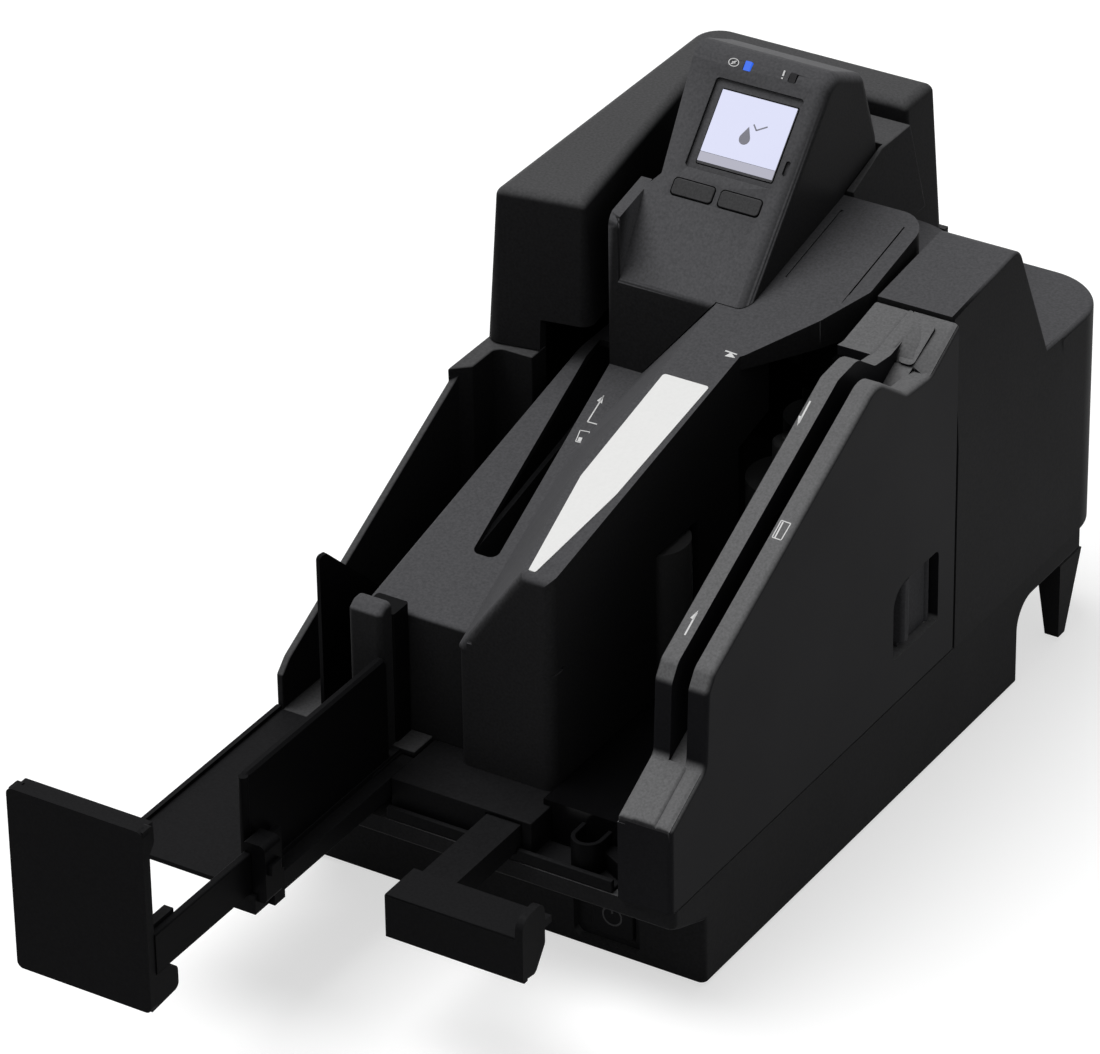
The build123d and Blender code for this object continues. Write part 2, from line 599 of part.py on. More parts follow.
nose_bottom = track_floor - 2.0
nose_radius = 3.5
rear_skirt = guide_top + 3.0
with BuildPart() as ridge_cover:
    loft([ridge_section(*station, 0) for station in ridge_stations], ruled=True)
    front_face = ridge_cover.faces().sort_by(Axis.Y)[0]
    fillet(front_face.edges().filter_by(lambda edge: edge.center().Z > deck_z(ridge_front) + 1), nose_radius)
    # left and front walls of the nose, and the hopper's left wall
    plan_prism([(ridge_stations[0][1], ridge_front, nose_radius), (feeder_left, ridge_front, nose_radius),
                (feeder_left, island_front - fit), (ridge_stations[0][1], island_front - fit)],
               (nose_bottom, deck_z(ridge_front)))
    bar((ridge_stations[0][1] + nose_radius, feeder_left - nose_radius), (ridge_front, ridge_front + wall),
        (deck_z(ridge_front) - 3, deck_z(ridge_front) + 3))
    side_prism([(island_front - 1, nose_bottom), (feeder_end, nose_bottom), (feeder_end, deck_z(feeder_end) + 1),
                (island_front - 1, deck_z(island_front) + 1)], (feeder_left - wall, feeder_left))
    # rear part over the track, with its rim
    plan_prism(
        [(2, 100), (feeder_left, feeder_end, 6), (33.5, 127, 6), (ridge_rim, 143, 4), (ridge_rim, ridge_rear, 9),
         (2, ridge_rear)],
        (rear_skirt, ridge_z(ridge_rear) + 2),
    )
    split(bisect_by=ridge_plane, keep=Keep.BOTTOM)
    # hollow
    loft([ridge_section(y + wall * (index == 0), foot_x, top_x, wall)
          for index, (y, foot_x, top_x) in enumerate(ridge_stations)], ruled=True, mode=Mode.SUBTRACT)
    bar((ridge_stations[0][1] + wall, feeder_left - wall), (ridge_front + wall, island_front + 1),
        (nose_bottom - 1, deck_z(ridge_front)), mode=Mode.SUBTRACT)
    hollow_top = 3.8
    side_prism([(head_front - 3, rear_skirt - 1), (ridge_rear - wall, rear_skirt - 1),
                (ridge_rear - wall, ridge_z(ridge_rear - wall) - hollow_top),
                (head_front - 3, ridge_z(head_front - 3) - hollow_top)], (2 + wall, 28), mode=Mode.SUBTRACT)
    side_prism([(140, rear_skirt - 1), (ridge_rear - wall - 6, rear_skirt - 1),
                (ridge_rear - wall - 6, ridge_z(ridge_rear - wall - 6) - hollow_top),
                (140, ridge_z(140) - hollow_top)], (27, ridge_rim - wall), mode=Mode.SUBTRACT)
    # recess and opening for the lid
    lid_block(fit, lid_thickness + 0.1, mode=Mode.SUBTRACT)
    lid_block(-2.0, 8.0, mode=Mode.SUBTRACT)
    axle((lid_x[0] - 1.6, lid_x[1] + 1.6), *lid_axis, lid_pin + bore_clearance, mode=Mode.SUBTRACT)
    # window for the pick roller in the hopper's left wall
    bar((feeder_left - wall - 1, feeder_left + 1),
        (pick_place[1] - pick_radius - 1, pick_place[1] + pick_radius + 1),
        (hopper_band[0][0] - 2, hopper_band[0][1] + 2), mode=Mode.SUBTRACT)
finish(ridge_cover, "ridge_cover")

with BuildPart() as ink_lid:
    lid_block(0.0, lid_thickness)
    fillet(ink_lid.edges().filter_by(Axis.X).sort_by(Axis.Y)[-2:], 0.85)
    # finger notch in the front right corner
    notch = outline_on(ridge_plane, [
        (lid_x[1] - 3.0, along(lid_y[0]) - 1), (lid_x[1] + 1, along(lid_y[0]) - 1),
        (lid_x[1] + 1, along(lid_y[0]) + 5), (lid_x[1] - 1.0, along(lid_y[0]) + 5)])
    extrude(notch, amount=-lid_thickness - 1, mode=Mode.SUBTRACT)
    axle((lid_x[0] - 1.3, lid_x[1] + 1.3), *lid_axis, lid_pin)
finish(ink_lid, "ink_lid")

with BuildPart() as print_cartridge:
    bar(cartridge_x, cartridge_y, (shelf_z[1], ridge_z(cartridge_y[0]) - 3.0))
    fillet(print_cartridge.edges().filter_by(Axis.Z), 1.5)
    bar((cartridge_x[1] - 1, cartridge_x[1] + 2.5), (150, 156), (shelf_z[1] + 4, shelf_z[1] + 16))
finish(print_cartridge, "print_cartridge")

label_thickness = 0.3
label_corners = [(3.9, 90.0, 1.0), (18.8, 90.0, 1.0), (17.8, 41.0), (13.6, 5.5, 0.6), (11.4, 5.5, 0.4), (4.6, 44.0)]
with BuildPart() as instruction_label:
    label_face = outline_on(ridge_plane, [(x, along(y), *radius) for x, y, *radius in label_corners])
    extrude(label_face, amount=label_thickness)
finish(instruction_label, "instruction_label")

# ============================== Display head ==============================
face_plane = Plane(origin=(0, front + head_front, face_foot), x_dir=(1, 0, 0),
                   z_dir=(0, -sin(radians(face_angle)), cos(radians(face_angle))))


def on_face(centre, size, radius, depth, lift=0.0, mode=Mode.ADD):
    """Rounded block sunk into the sloped face, or standing on it when the depth is negative."""
    with BuildSketch(face_plane.offset(lift)) as patch:
        with Locations(centre):
            RectangleRounded(*size, radius)
    extrude(patch.sketch, amount=-depth, mode=mode)


head_rear = 199.6
head_profile = [
    (head_front, deck_z(head_front)), (head_front, face_foot, 3),
    (head_front + face_depth, face_top, 8), (190.6, 184.2, 4), (198.3, 162, 3), (head_rear, 153.5, 2),
    (head_rear, rear_skirt), (deck_rear, rear_skirt), (deck_rear, deck_z(head_front)),
]
face_left = -25.0  # left edge of the face at its foot; it reaches head_left at its top
bezel_size = (29.0, 27.6)
bezel_centre = (-8.3, 51.2)
bezel_depth = 1.0
lens_size = (2.5, 2.7)
lens_places = [(-14.7, 70.2), (0.2, 70.2)]
key_places = {"left_key": (-17.3, key_rise), "right_key": (-1.8, key_rise)}
pill_place = (8.2, 44.3)
pill_size = (1.5, 4.6)
head_skin = 3.0
head_round = 3.6  # its right-hand edges
wing = 3.6
wing_rear = 146.0
wing_top = 158.5

with BuildPart() as head_housing:
    side_prism(head_profile, (head_left, head_right))
    # the face narrows towards the wing's top on the left, and the block stops over the deck
    front_prism([(head_left - 1, wing_top), (face_left - 3.2, wing_top), (head_left, face_top),
                 (head_left - 1, face_top)], (head_front - 1, head_rear + 1), mode=Mode.SUBTRACT)
    front_prism([(head_left - 1, face_foot - 34), (face_left, face_foot - 34), (face_left, rear_skirt),
                 (head_left - 1, rear_skirt)], (head_front - 1, head_rear + 1), mode=Mode.SUBTRACT)
    fillet(head_housing.faces().filter_by(Plane.YZ).sort_by(Axis.X)[-1].edges().filter_by(
        lambda edge: edge.center().Z > face_foot + 2), head_round)
    # the wing runs back beside the card slot
    plan_prism([(slot_x(head_front) + slot_width, head_front), (slot_x(head_front) + slot_width + wing, head_front),
                (slot_x(wing_rear) + slot_width + wing, wing_rear), (slot_x(wing_rear) + slot_width, wing_rear)],
               (deck_z(head_front), wing_top))
    fillet(head_housing.edges().filter_by(
        lambda edge: abs(edge.center().Z - (wing_top + face_foot) / 2) < 6 and edge.center().Y < front + head_front + 0.1
        and edge.center().X < slot_x(head_front) + slot_width + wing + 0.1), 0.8)
    bar((slot_x(head_front) + slot_width, face_left + 1), (head_front, head_front + wing),
        (deck_z(head_front), rear_skirt + 0.5))
    # hollow, following the outside
    side_prism([(head_front + wall, rear_skirt), (head_front + wall, face_foot - 1),
                (head_front + face_depth, face_top - head_skin - 1.5), (188, 180.5), (195.5, 161), (head_rear - wall, 153),
                (head_rear - wall, rear_skirt - 1), (head_front + wall, rear_skirt - 1)],
               (face_left + wall, head_right - wall), mode=Mode.SUBTRACT)
    bar((face_left + wall, island_right), (head_front + wall, deck_rear + 1), (deck_z(head_front) - 1, rear_skirt + 1),
        mode=Mode.SUBTRACT)
    # room for the ridge that runs under the head
    side_prism([(head_front - 1, 100), (head_rear + 1, 100), (head_rear + 1, ridge_z(ridge_rear)),
                (ridge_rear + 1, ridge_z(ridge_rear) + fit), (head_front - 1, ridge_z(head_front - 1) + fit)],
               (2 - fit, head_right + 1), mode=Mode.SUBTRACT)
    front_prism([(-22 - fit, deck_z(head_front) - 1), (-22 - fit, deck_z(head_front)),
                 (2 - fit, ridge_z(head_front) + fit), (3, ridge_z(head_front) + fit), (3, deck_z(head_front) - 1)],
                (head_front - 1, head_front + wall + 1), mode=Mode.SUBTRACT)
    # screen recess and opening, keys, lenses and the small slot beside the screen
    on_face(bezel_centre, bezel_size, 1.2, bezel_depth + 0.5, lift=0.5, mode=Mode.SUBTRACT)
    on_face(screen_centre, (screen_size[0] + 2 * fit, screen_size[1] + 2 * fit), 0.8, 8, mode=Mode.SUBTRACT)
    for place in key_places.values():
        on_face(place, (key_size[0] + 2 * fit, key_size[1] + 2 * fit), 1.4, 8, lift=0.5, mode=Mode.SUBTRACT)
        on_face(place, (key_size[0] + 2.0, key_size[1] + 2.8), 1.4, 6, lift=-head_skin, mode=Mode.SUBTRACT)
    for place in lens_places:
        on_face(place, (lens_size[0] + 0.2, lens_size[1] + 0.2), 0.4, 3, lift=0.5, mode=Mode.SUBTRACT)
    on_face(pill_place, pill_size, 0.74, 1.5, lift=0.5, mode=Mode.SUBTRACT)
finish(head_housing, "head_housing")

with BuildPart() as screen_panel:
    on_face(screen_centre, screen_size, 0.6, 2.8, lift=-bezel_depth + 0.2)
    on_face(bezel_centre, (bezel_size[0] - 3, bezel_size[1] - 1), 0.6, 2.0, lift=-head_skin - fit)
finish(screen_panel, "screen_panel")

for key_name, place in key_places.items():
    with BuildPart() as key:
        on_face(place, key_size, 1.2, head_skin + 1.6, lift=0.35)
        fillet(key.faces().sort_by(Axis((0, 0, 0), tuple(face_plane.z_dir)))[-1].edges(), 0.4)
        on_face(place, (key_size[0] + 1.0, key_size[1] + 1.6), 1.2, 1.0, lift=-head_skin - fit)
    finish(key, key_name)

with BuildPart() as status_lenses:
    for place in lens_places:
        on_face(place, lens_size, 0.3, 2.5, lift=0.2)
finish(status_lenses, "status_lenses")

# ============================== Covers behind the head ==============================
centre_right = 13.0  # right-hand end of the rear hood and of the case under it
centre_y = (ridge_rear + 0.5, 214.5)
centre_top = 157.5
with BuildPart() as centre_cover:
    front_prism([(head_right + fit, rear_skirt + 1), (centre_right + 6, rear_skirt + 1), (centre_right + 0.5, centre_top),
                 (head_right + fit, centre_top)], centre_y)
    front_prism([(-36, rear_skirt), (centre_right, rear_skirt), (centre_right, centre_top), (-36, centre_top)],
                (head_rear + fit, centre_y[1]))
    # the front slopes back from behind the lid to the top
    side_prism([(centre_y[0] - 1, ridge_z(ridge_rear) + 1), (centre_y[0] - 1, centre_top + 1), (201, centre_top + 1)],
               (head_right, centre_right + 8), mode=Mode.SUBTRACT)
    bar((-36 + wall, centre_right - 1), (head_rear + fit + wall, centre_y[1] - wall), (rear_skirt - 1, centre_top - wall),
        mode=Mode.SUBTRACT)
    bar((-36, centre_right), (centre_y[1] - wall, centre_y[1]), (rim_height + 1, rear_skirt + 1))
finish(centre_cover, "centre_cover")

# rear right cover: a low block with a rounded rear corner, a tall hip, and a roof over the bend
hip_right = half - 2.6
low_top = 107.0
hip_front = swipe_rear + 1.2
hip_rear = 182.0
hip_left = track_right + outer_face
crease = 101.0
bend_centre = (track_right - track_bend, track_rear - track_bend)
roof_radius = track_bend + outer_face + guide_wall + fit + wall
roof_top = guide_top + fit + wall


def rear_right_outline(inset):
    """Plan corners of the low block."""
    return [(hip_left + 2.5 - inset, hip_front + inset), (half - inset, hip_front + inset),
            (half - inset, body_depth - inset, corner_radius - inset), (centre_right + fit - inset, body_depth - inset),
            (centre_right + fit - inset, track_rear + 4.6 - inset), (hip_left + 2.5 - inset, track_rear + 4.6 - inset)]


with BuildPart() as rear_right_cover:
    plan_prism(rear_right_outline(0), (seam_height, low_top))
    fillet(rear_right_cover.faces().sort_by(Axis.Z)[-1].edges().filter_by(
        lambda edge: edge.center().X > half - 9 and edge.center().Y > front + 190), 1.5)
    hip_profile = [(hip_front, seam_height), (204, seam_height), (204, crease + 3), (198, crease + 3, 3),
                   (hip_rear, ridge_height + 4.2, 5), (hip_front, ridge_height + 0.3)]
    side_prism(hip_profile, (hip_left, half))
    front_prism([(hip_right, ridge_height + 8), (half, crease), (half + 1, crease), (half + 1, ridge_height + 8)],
                (hip_front - 1, 206), mode=Mode.SUBTRACT)
    fillet(rear_right_cover.edges().filter_by(
        lambda edge: edge.center().Z > ridge_height - 1 and abs(edge.center().X - hip_right) < 0.8), 1.0)
    # roof over the bend of the track
    post(bend_centre[0], bend_centre[1], (low_top - wall, roof_top), roof_radius)
    bar((-20, bend_centre[0]), (bend_centre[1] - 40, bend_centre[1] + 40), (low_top, roof_top + 1), mode=Mode.SUBTRACT)
    bar((-20, bend_centre[0]), (bend_centre[1] - 40, track_rear + 4.6), (low_top - wall - 1, low_top + 1),
        mode=Mode.SUBTRACT)
    bar((-20, hip_left - 0.05), (bend_centre[1] - 40, bend_centre[1]), (low_top - wall - 1, roof_top + 1),
        mode=Mode.SUBTRACT)
    # hollow
    plan_prism(rear_right_outline(wall), (chassis_top, low_top - wall), mode=Mode.SUBTRACT)
    bar((hip_left - 1, half - wall), (hip_front - 1, 204 + fit), (seam_height - 1, chassis_top), mode=Mode.SUBTRACT)
    side_prism([(hip_front + wall, seam_height - 1), (203, seam_height - 1), (203, crease), (196.6, crease),
                (hip_rear - 1.4, ridge_height + 2), (hip_front + wall, ridge_height - 1.9)],
               (hip_left + wall, hip_right - wall - 0.4), mode=Mode.SUBTRACT)
    bar((hip_left - 1, hip_left + wall + 0.5), (hip_front - 1, 206), (seam_height - 1, guide_top + fit), mode=Mode.SUBTRACT)
    bar((hip_left - 1, hip_left + outer_face), (hip_front - 1, hip_front + wall + 1), (seam_height - 1, guide_top + fit),
        mode=Mode.SUBTRACT)
    post(bend_centre[0], bend_centre[1], (low_top - wall - 2, guide_top + fit), roof_radius - wall, mode=Mode.SUBTRACT)
finish(rear_right_cover, "rear_right_cover")

# rear case: the lower left and rear walls, with the hood's hinge ears
pin_radius = 1.5
ear_pairs = [(-56.0, -40.0), (-14.0, 2.0)]
with BuildPart() as rear_case:
    case_outline = [(-half, 118.3), (-half, body_depth, 12), (centre_right, body_depth), (centre_right, 118.3)]
    case_hollow = [(-inner, 117), (-inner, body_depth - wall, 10), (centre_right + 1, body_depth - wall),
                   (centre_right + 1, 117)]
    plan_prism(case_outline, (seam_height, rim_height))
    plan_prism(case_hollow, (chassis_top, rim_height + 1), mode=Mode.SUBTRACT)
    bar((-inner, centre_right + 1), (117, 204.6), (seam_height - 1, seam_height + 3), mode=Mode.SUBTRACT)
    for pair in ear_pairs:
        for x in pair:
            bar((x - 1, x + 1), (hood_axis[0] - 2.6, body_depth - wall + 0.5), (rim_height - 8, rim_height - 0.2))
            bar((x - 1, x + 1), (hood_axis[0] - 2.6, hood_axis[0] + 0.6), (rim_height - 1, hood_axis[1] + 2.4))
            axle((x - 2, x + 2), *hood_axis, pin_radius + bore_clearance, mode=Mode.SUBTRACT)
finish(rear_case, "rear_case")

hood_bottom = rim_height + cover_seam
hood_top = 161.6
hood_taper = 3.5
hood_edge = 3.0  # rounding of its top edges
hood_front = 110.6
hood_rear = body_depth - 2.0
heel_radius = 4.3
hood_corners = [
    (-half, hood_front, 4.5), (-36.2, hood_front + 6.0, 4.5), (-50.4, 203.0), (-50.4, centre_y[1] + 0.7, 2),
    (centre_right, centre_y[1] + 0.7, 4.5), (centre_right, hood_rear, 4.5), (-half, hood_rear, 12),
]
with BuildPart() as rear_hood:
    plan_prism(hood_corners, (hood_bottom, hood_top), taper=hood_taper)
    fillet(rear_hood.faces().sort_by(Axis.Z)[-1].edges(), hood_edge)
    hood_inside = [
        (-half + wall, hood_front + wall + 1.5), (-36.2 - wall - 0.6, hood_front + 6.0 + wall + 0.6),
        (-50.4 - wall, 203.0), (-50.4 - wall, centre_y[1] + 0.7 + wall), (centre_right - wall, centre_y[1] + 0.7 + wall),
        (centre_right - wall, hood_rear - wall), (-half + wall, hood_rear - wall, 9),
    ]
    plan_prism(hood_inside, (hood_bottom - 0.01, hood_top - wall), taper=hood_taper, mode=Mode.SUBTRACT)
    # the lower rear edge is rounded about the hinge, so that it clears the case as the hood tips back
    with BuildSketch(Plane.YZ.offset(-half - 1)) as heel:
        with Locations((front + hood_axis[0] + 3, hood_axis[1] - 3)):
            Rectangle(6, 6)
        with Locations((front + hood_axis[0], hood_axis[1])):
            Circle(heel_radius, mode=Mode.SUBTRACT)
    extrude(heel.sketch, amount=half + centre_right + 2, mode=Mode.SUBTRACT)
    # documents pass under the front wall and the inner side wall
    bar((track_left - outer_face - 0.7, -34), (hood_front - 2, exit_end - 1), (hood_bottom - 1, track_floor + document_height),
        mode=Mode.SUBTRACT)
    bar((track_left - outer_face - guide_wall - 0.7, -38), (exit_end - 1, centre_y[1]), (hood_bottom - 1, guide_top + 2),
        mode=Mode.SUBTRACT)
    for pair in ear_pairs:
        # notches let the ears pass through the heel of the rear wall as the hood tips back
        for x in pair:
            bar((x - 1 - fit, x + 1 + fit), (hood_axis[0] + 1.5, body_depth + 1), (hood_bottom - 1, hood_axis[1] + 0.8),
                mode=Mode.SUBTRACT)
        knuckle = (pair[0] + 1.4, pair[1] - 1.4)
        axle(knuckle, *hood_axis, pin_radius + 1.6)
        bar(knuckle, (hood_axis[0], hood_rear - 1.6), (hood_axis[1] - 0.4, hood_axis[1] + 2.6))
        axle((knuckle[0] - 1, knuckle[1] + 1), *hood_axis, pin_radius + bore_clearance, mode=Mode.SUBTRACT)
finish(rear_hood, "rear_hood")

flap_pin = (island_left - 2.4, 33.5)
with BuildPart() as hinge_pins:
    for pair in ear_pairs:
        axle((pair[0] - 1.6, pair[1] + 1.6), *hood_axis, pin_radius)
    post(*flap_pin, (pocket_floor + 0.8, pocket_floor + 29.4), 1.0)
    post(*unit_pin, (seam_height - 5, 58), shaft_radius)
finish(hinge_pins, "hinge_pins")

# ============================== Pocket, output tray and stacker ==============================
pocket_right = island_left - 0.4
with BuildPart() as pocket_case:
    bar((-half, pocket_right), (0, 118), (pocket_floor - 2, pocket_floor))
    bar((-half, tray_right), (0, island_front - fit), (pocket_floor - 2, pocket_floor))
    side_prism([(0, seam_height), (118, seam_height), (118, rim_height), (100, rim_height, 4), (4, 62, 4), (0, 58)],
               (-half, -inner))
    # thick rim around the rear of the pocket
    plan_prism([(-half, 92), (-half + 5.5, 97), (-half + 5.5, 110, 3), (track_left - outer_face - 1, 110),
                (track_left - outer_face - 1, 118), (-half, 118)], (pocket_floor - 0.5, rim_height))
    bar((-half, pocket_right - 1), (112, 118), (chassis_top, pocket_floor))
    bar((track_left - outer_face - 1, pocket_right), (106, 119), (pocket_floor, rim_height), mode=Mode.SUBTRACT)
finish(pocket_case, "pocket_case")

rail_x = (-28.0, -25.6)
rail_z = (45.5, 58.0)
tray_y = (-tray_reach, -fit)
with BuildPart() as output_tray:
    bar((-half, tray_right), tray_y, (pocket_floor - 2, pocket_floor))
    bar((-half, -half + 1.6), tray_y, (pocket_floor - 6, pocket_floor + 1.2))
    bar((rail_x[0] - 3.4, tray_right), tray_y, (pocket_floor - 8, pocket_floor - 1))
    bar((rail_x[0] - fit, tray_right + 1), (-tray_reach - 1, 1), (rail_z[0] - fit, pocket_floor + 1), mode=Mode.SUBTRACT)
    for x in (-58, -40):
        bar((x, x + 2), (-tray_reach + 6, -fit), (pocket_floor - 5, pocket_floor - 1))
    for x in (-66, -48, -32):
        bar((x, x + 4), (-front_lip + 1, -fit), (seam_height, pocket_floor - 1))
    chamfer(output_tray.edges().filter_by(Axis.X).sort_by(Axis.Y)[0], 0.6)
finish(output_tray, "output_tray")

guide_x = (-30.8, -28.6)
with BuildPart() as guide_plate:
    side_prism([(-tray_reach + 5, pocket_floor), (-5.2, pocket_floor), (-5.2, 80, 3), (-tray_reach + 5, 80, 2)], guide_x)
    chamfer(guide_plate.edges().filter_by(Axis.Y).sort_by(Axis.Z)[-1], 0.8)
    post(guide_x[0] + 1.1, -tray_reach + 5, (pocket_floor, 79.5), 1.4)
finish(guide_plate, "guide_plate")

clip_y = (-79.0, -71.5)
with BuildPart() as rail_clip:
    front_prism([(rail_x[1] + fit, pocket_floor - 4), (-20.8, pocket_floor - 4, 1.5), (-20.8, 61.5, 2),
                 (rail_x[0] + 0.2, 61.5, 1), (rail_x[0] + 0.2, rail_z[1] + fit), (rail_x[1] + fit, rail_z[1] + fit)], clip_y)
    bar((tray_right + 0.01, -22), (clip_y[1] - 2, clip_y[1] + 3), (pocket_floor - 8, pocket_floor + 2))
    bar((-22.4, -19.6), (clip_y[0] + 1, clip_y[1] - 1), (52, 55))
    fillet(rail_clip.edges().filter_by(Axis.Z).sort_by(Axis.X)[-2:], 0.6)
    # it hooks under the tray's ledge on both sides of the rail's way
    bar((rail_x[1] + fit, tray_right), (clip_y[0], clip_y[1] + 3), (pocket_floor - 8.5, rail_z[0] - fit), mode=Mode.SUBTRACT)
finish(rail_clip, "rail_clip")

plate_x = (-half, -half + plate_width)
plate_y = (-plate_reach, -plate_reach + 3.0)
with BuildPart() as stacker_plate:
    bar(plate_x, plate_y, (plate_foot, plate_top))
    fillet(stacker_plate.edges().filter_by(Axis.Y), 2.0)
    # rolled top rim with a small horn at each end
    bar((plate_x[0] + 1.5, plate_x[1] - 1.5), (plate_y[0] + 1, plate_y[0] + 7.0), (plate_top - 3.4, plate_top - 0.6))
    for x in (plate_x[0], plate_x[1] - 3.0):
        side_prism([(plate_y[0] + 0.6, plate_top - 12), (plate_y[0] + 5.5, plate_top - 6, 2),
                    (plate_y[0] + 5.5, plate_top - 0.2, 1.5), (plate_y[0] + 0.6, plate_top - 0.2)], (x + 0.6, x + 2.8))
    # hook at the foot's right-hand end
    side_prism([(plate_y[0] + 1, plate_foot), (plate_y[1] + 10.5, plate_foot + 1, 2), (plate_y[1] + 10.5, plate_foot + 7.5, 2.5),
                (plate_y[1] + 7, plate_foot + 10.5, 2), (plate_y[0] + 1, plate_foot + 10.5)], (plate_x[1] - 3.2, plate_x[1] - 0.4))
    # cheek that holds the rail
    bar((rail_x[0] - 3, rail_x[0]), (plate_y[1] - 0.5, plate_y[1] + 12), (rail_z[0] - 1, rail_z[1] + 1))
finish(stacker_plate, "stacker_plate")

with BuildPart() as stacker_rail:
    bar(rail_x, (plate_y[1], -64), rail_z)
    fillet(stacker_rail.edges().filter_by(Axis.Y).sort_by(Axis.Z)[-2:], 0.5)
finish(stacker_rail, "stacker_rail")

post_x = (-42.0, -31.0)
with BuildPart() as pocket_post:
    bar((post_x[0] + 1, post_x[1] + 0.2), (1.6, island_front - fit), (pocket_floor, 89))
    fillet(pocket_post.edges().filter_by(Axis.Z), 1.0)
finish(pocket_post, "pocket_post")

with BuildPart() as post_cap:
    side_prism([(-4.5, pocket_floor), (1.3, pocket_floor), (1.3, 93.5), (-1.5, 93.5, 2), (-4.5, 91.5, 1.5)], post_x)
    fillet(post_cap.edges().filter_by(Axis.Z).sort_by(Axis.Y)[:2], 1.8)
finish(post_cap, "post_cap")

flap_tip = (-54.4, 0.0)
flap_length = hypot(flap_tip[0] - flap_pin[0], flap_tip[1] - flap_pin[1])
flap_turn = degrees(atan2(flap_tip[0] - flap_pin[0], flap_pin[1] - flap_tip[1]))
flap_plane = Plane(origin=(flap_pin[0], front + flap_pin[1], 0), x_dir=(sin(radians(flap_turn)), -cos(radians(flap_turn)), 0),
                   z_dir=(-cos(radians(flap_turn)), -sin(radians(flap_turn)), 0))
flap_thickness = 1.4
flap_z = (pocket_floor + 4.2, pocket_floor + 26.4)
with BuildPart() as stack_flap:
    blade = outline_on(flap_plane, [(0, flap_z[0]), (flap_length, flap_z[0], 2), (flap_length, 101.5, 1.5),
                                    (flap_length - 3, 101.5, 1), (5.5, flap_z[1] + 3), (5.0, flap_z[1]),
                                    (0, flap_z[1])])
    extrude(blade, amount=flap_thickness / 2, both=True)
    post(*flap_pin, flap_z, 1.9)
    post(*flap_pin, (flap_z[0] - 1, flap_z[1] + 12), 1.0 + bore_clearance, mode=Mode.SUBTRACT)
finish(stack_flap, "stack_flap")

# ============================== Front shelf and hopper extension ==============================
shelf_left = tray_right + 0.5
arm_x = (8.0, 19.0)
arm_z = (37.0, 44.5)
arm_rear = 10.0
pit_right = 50.0  # the pit's floor stops clear of the swipe unit's swinging corner
with BuildPart() as front_shelf:
    bar((shelf_left, pit_left + 1.5), (-front_lip + 3, island_front - fit), (seam_height, nose_bottom))
    bar((shelf_left, pit_right), (-front_lip + 0.2, -front_lip + 1.8), (seam_height, seam_height + 4))
    bar((pit_left, pit_right), (-front_lip + 0.2, -3.3), (seam_height, seam_height + 1.2))
    bar((arm_x[0] - fit, arm_x[1] + fit), (-front_lip - 1, island_front + 1), (arm_z[0] - fit, arm_z[1] + fit),
        mode=Mode.SUBTRACT)
    bar((shelf_left + 2, arm_x[0] - 2), (-front_lip + 6, island_front - 2), (seam_height - 1, nose_bottom - 2),
        mode=Mode.SUBTRACT)
finish(front_shelf, "front_shelf")

guide_centre = (38.5, -9.0)
with BuildPart() as hopper_post:
    post_z = (seam_height + 1.2, 45.5)
    post(*guide_centre, post_z, 4.9)
    bar((guide_centre[0] - 4.9, guide_centre[0] + 4.9), (guide_centre[1], -4.0), post_z)
    post(*guide_centre, (post_z[0] + 1.2, post_z[1] + 1), 3.5, mode=Mode.SUBTRACT)
    bar((guide_centre[0] - 3.5, guide_centre[0] + 3.5), (guide_centre[1], -3.9), (post_z[0] + 1.2, post_z[1] + 1),
        mode=Mode.SUBTRACT)
    # small ledge beside it
    plan_prism([(guide_centre[0] + 4.4, -8), (50.0, -11.5), (50.0, -4.0), (guide_centre[0] + 4.4, -4.0)], (post_z[0], 41.0))
finish(hopper_post, "hopper_post")

tray_back = -50.0
with BuildPart() as feeder_tray:
    bar(feed_plate, (-feed_reach, -feed_reach + 2.2), (seam_height, track_floor))
    bar(feed_plate, (-feed_reach, tray_back), (track_floor - 2.2, track_floor))
    bar((feed_plate[0], feed_plate[1] - 12), (tray_back - 2.2, tray_back), (seam_height + 2, track_floor))
    bar(arm_x, (-feed_reach + 1, arm_rear), arm_z)
    fin_x = (feed_plate[1] - 2.4, feed_plate[1])
    side_prism([(-feed_reach, seam_height + 1), (-58.5, seam_height, 2), (-53.4, seam_height + 7, 2), (-53.4, 55, 3.5),
                (-feed_reach, 54, 4)], fin_x)
    fillet(feeder_tray.edges().filter_by(Axis.X).filter_by(
        lambda edge: edge.center().Y < front - feed_reach + 0.1 and edge.center().Z < track_floor + 0.1
        and edge.center().X < 40), 0.6)
finish(feeder_tray, "feeder_tray")

# ============================== Swipe reader unit ==============================
swipe_x = (feeder_right, half)
outer_wall_x = (swipe_slot[1], half)
inner_wall_x = (feeder_right, swipe_slot[0])
skirt = 2.2


def swipe_profile(crest):
    """(y, z) corners of a slot wall; the crest gives its top behind the slot's upper end."""
    return [(swipe_front, swipe_bottom), (swipe_rear, swipe_bottom), (swipe_rear, 142.2), *crest,
            (5.5, 100.3, 5), (2.0, 95.1, 4), (0.8, 71.9, 4), (swipe_front, ramp_start, 2)]


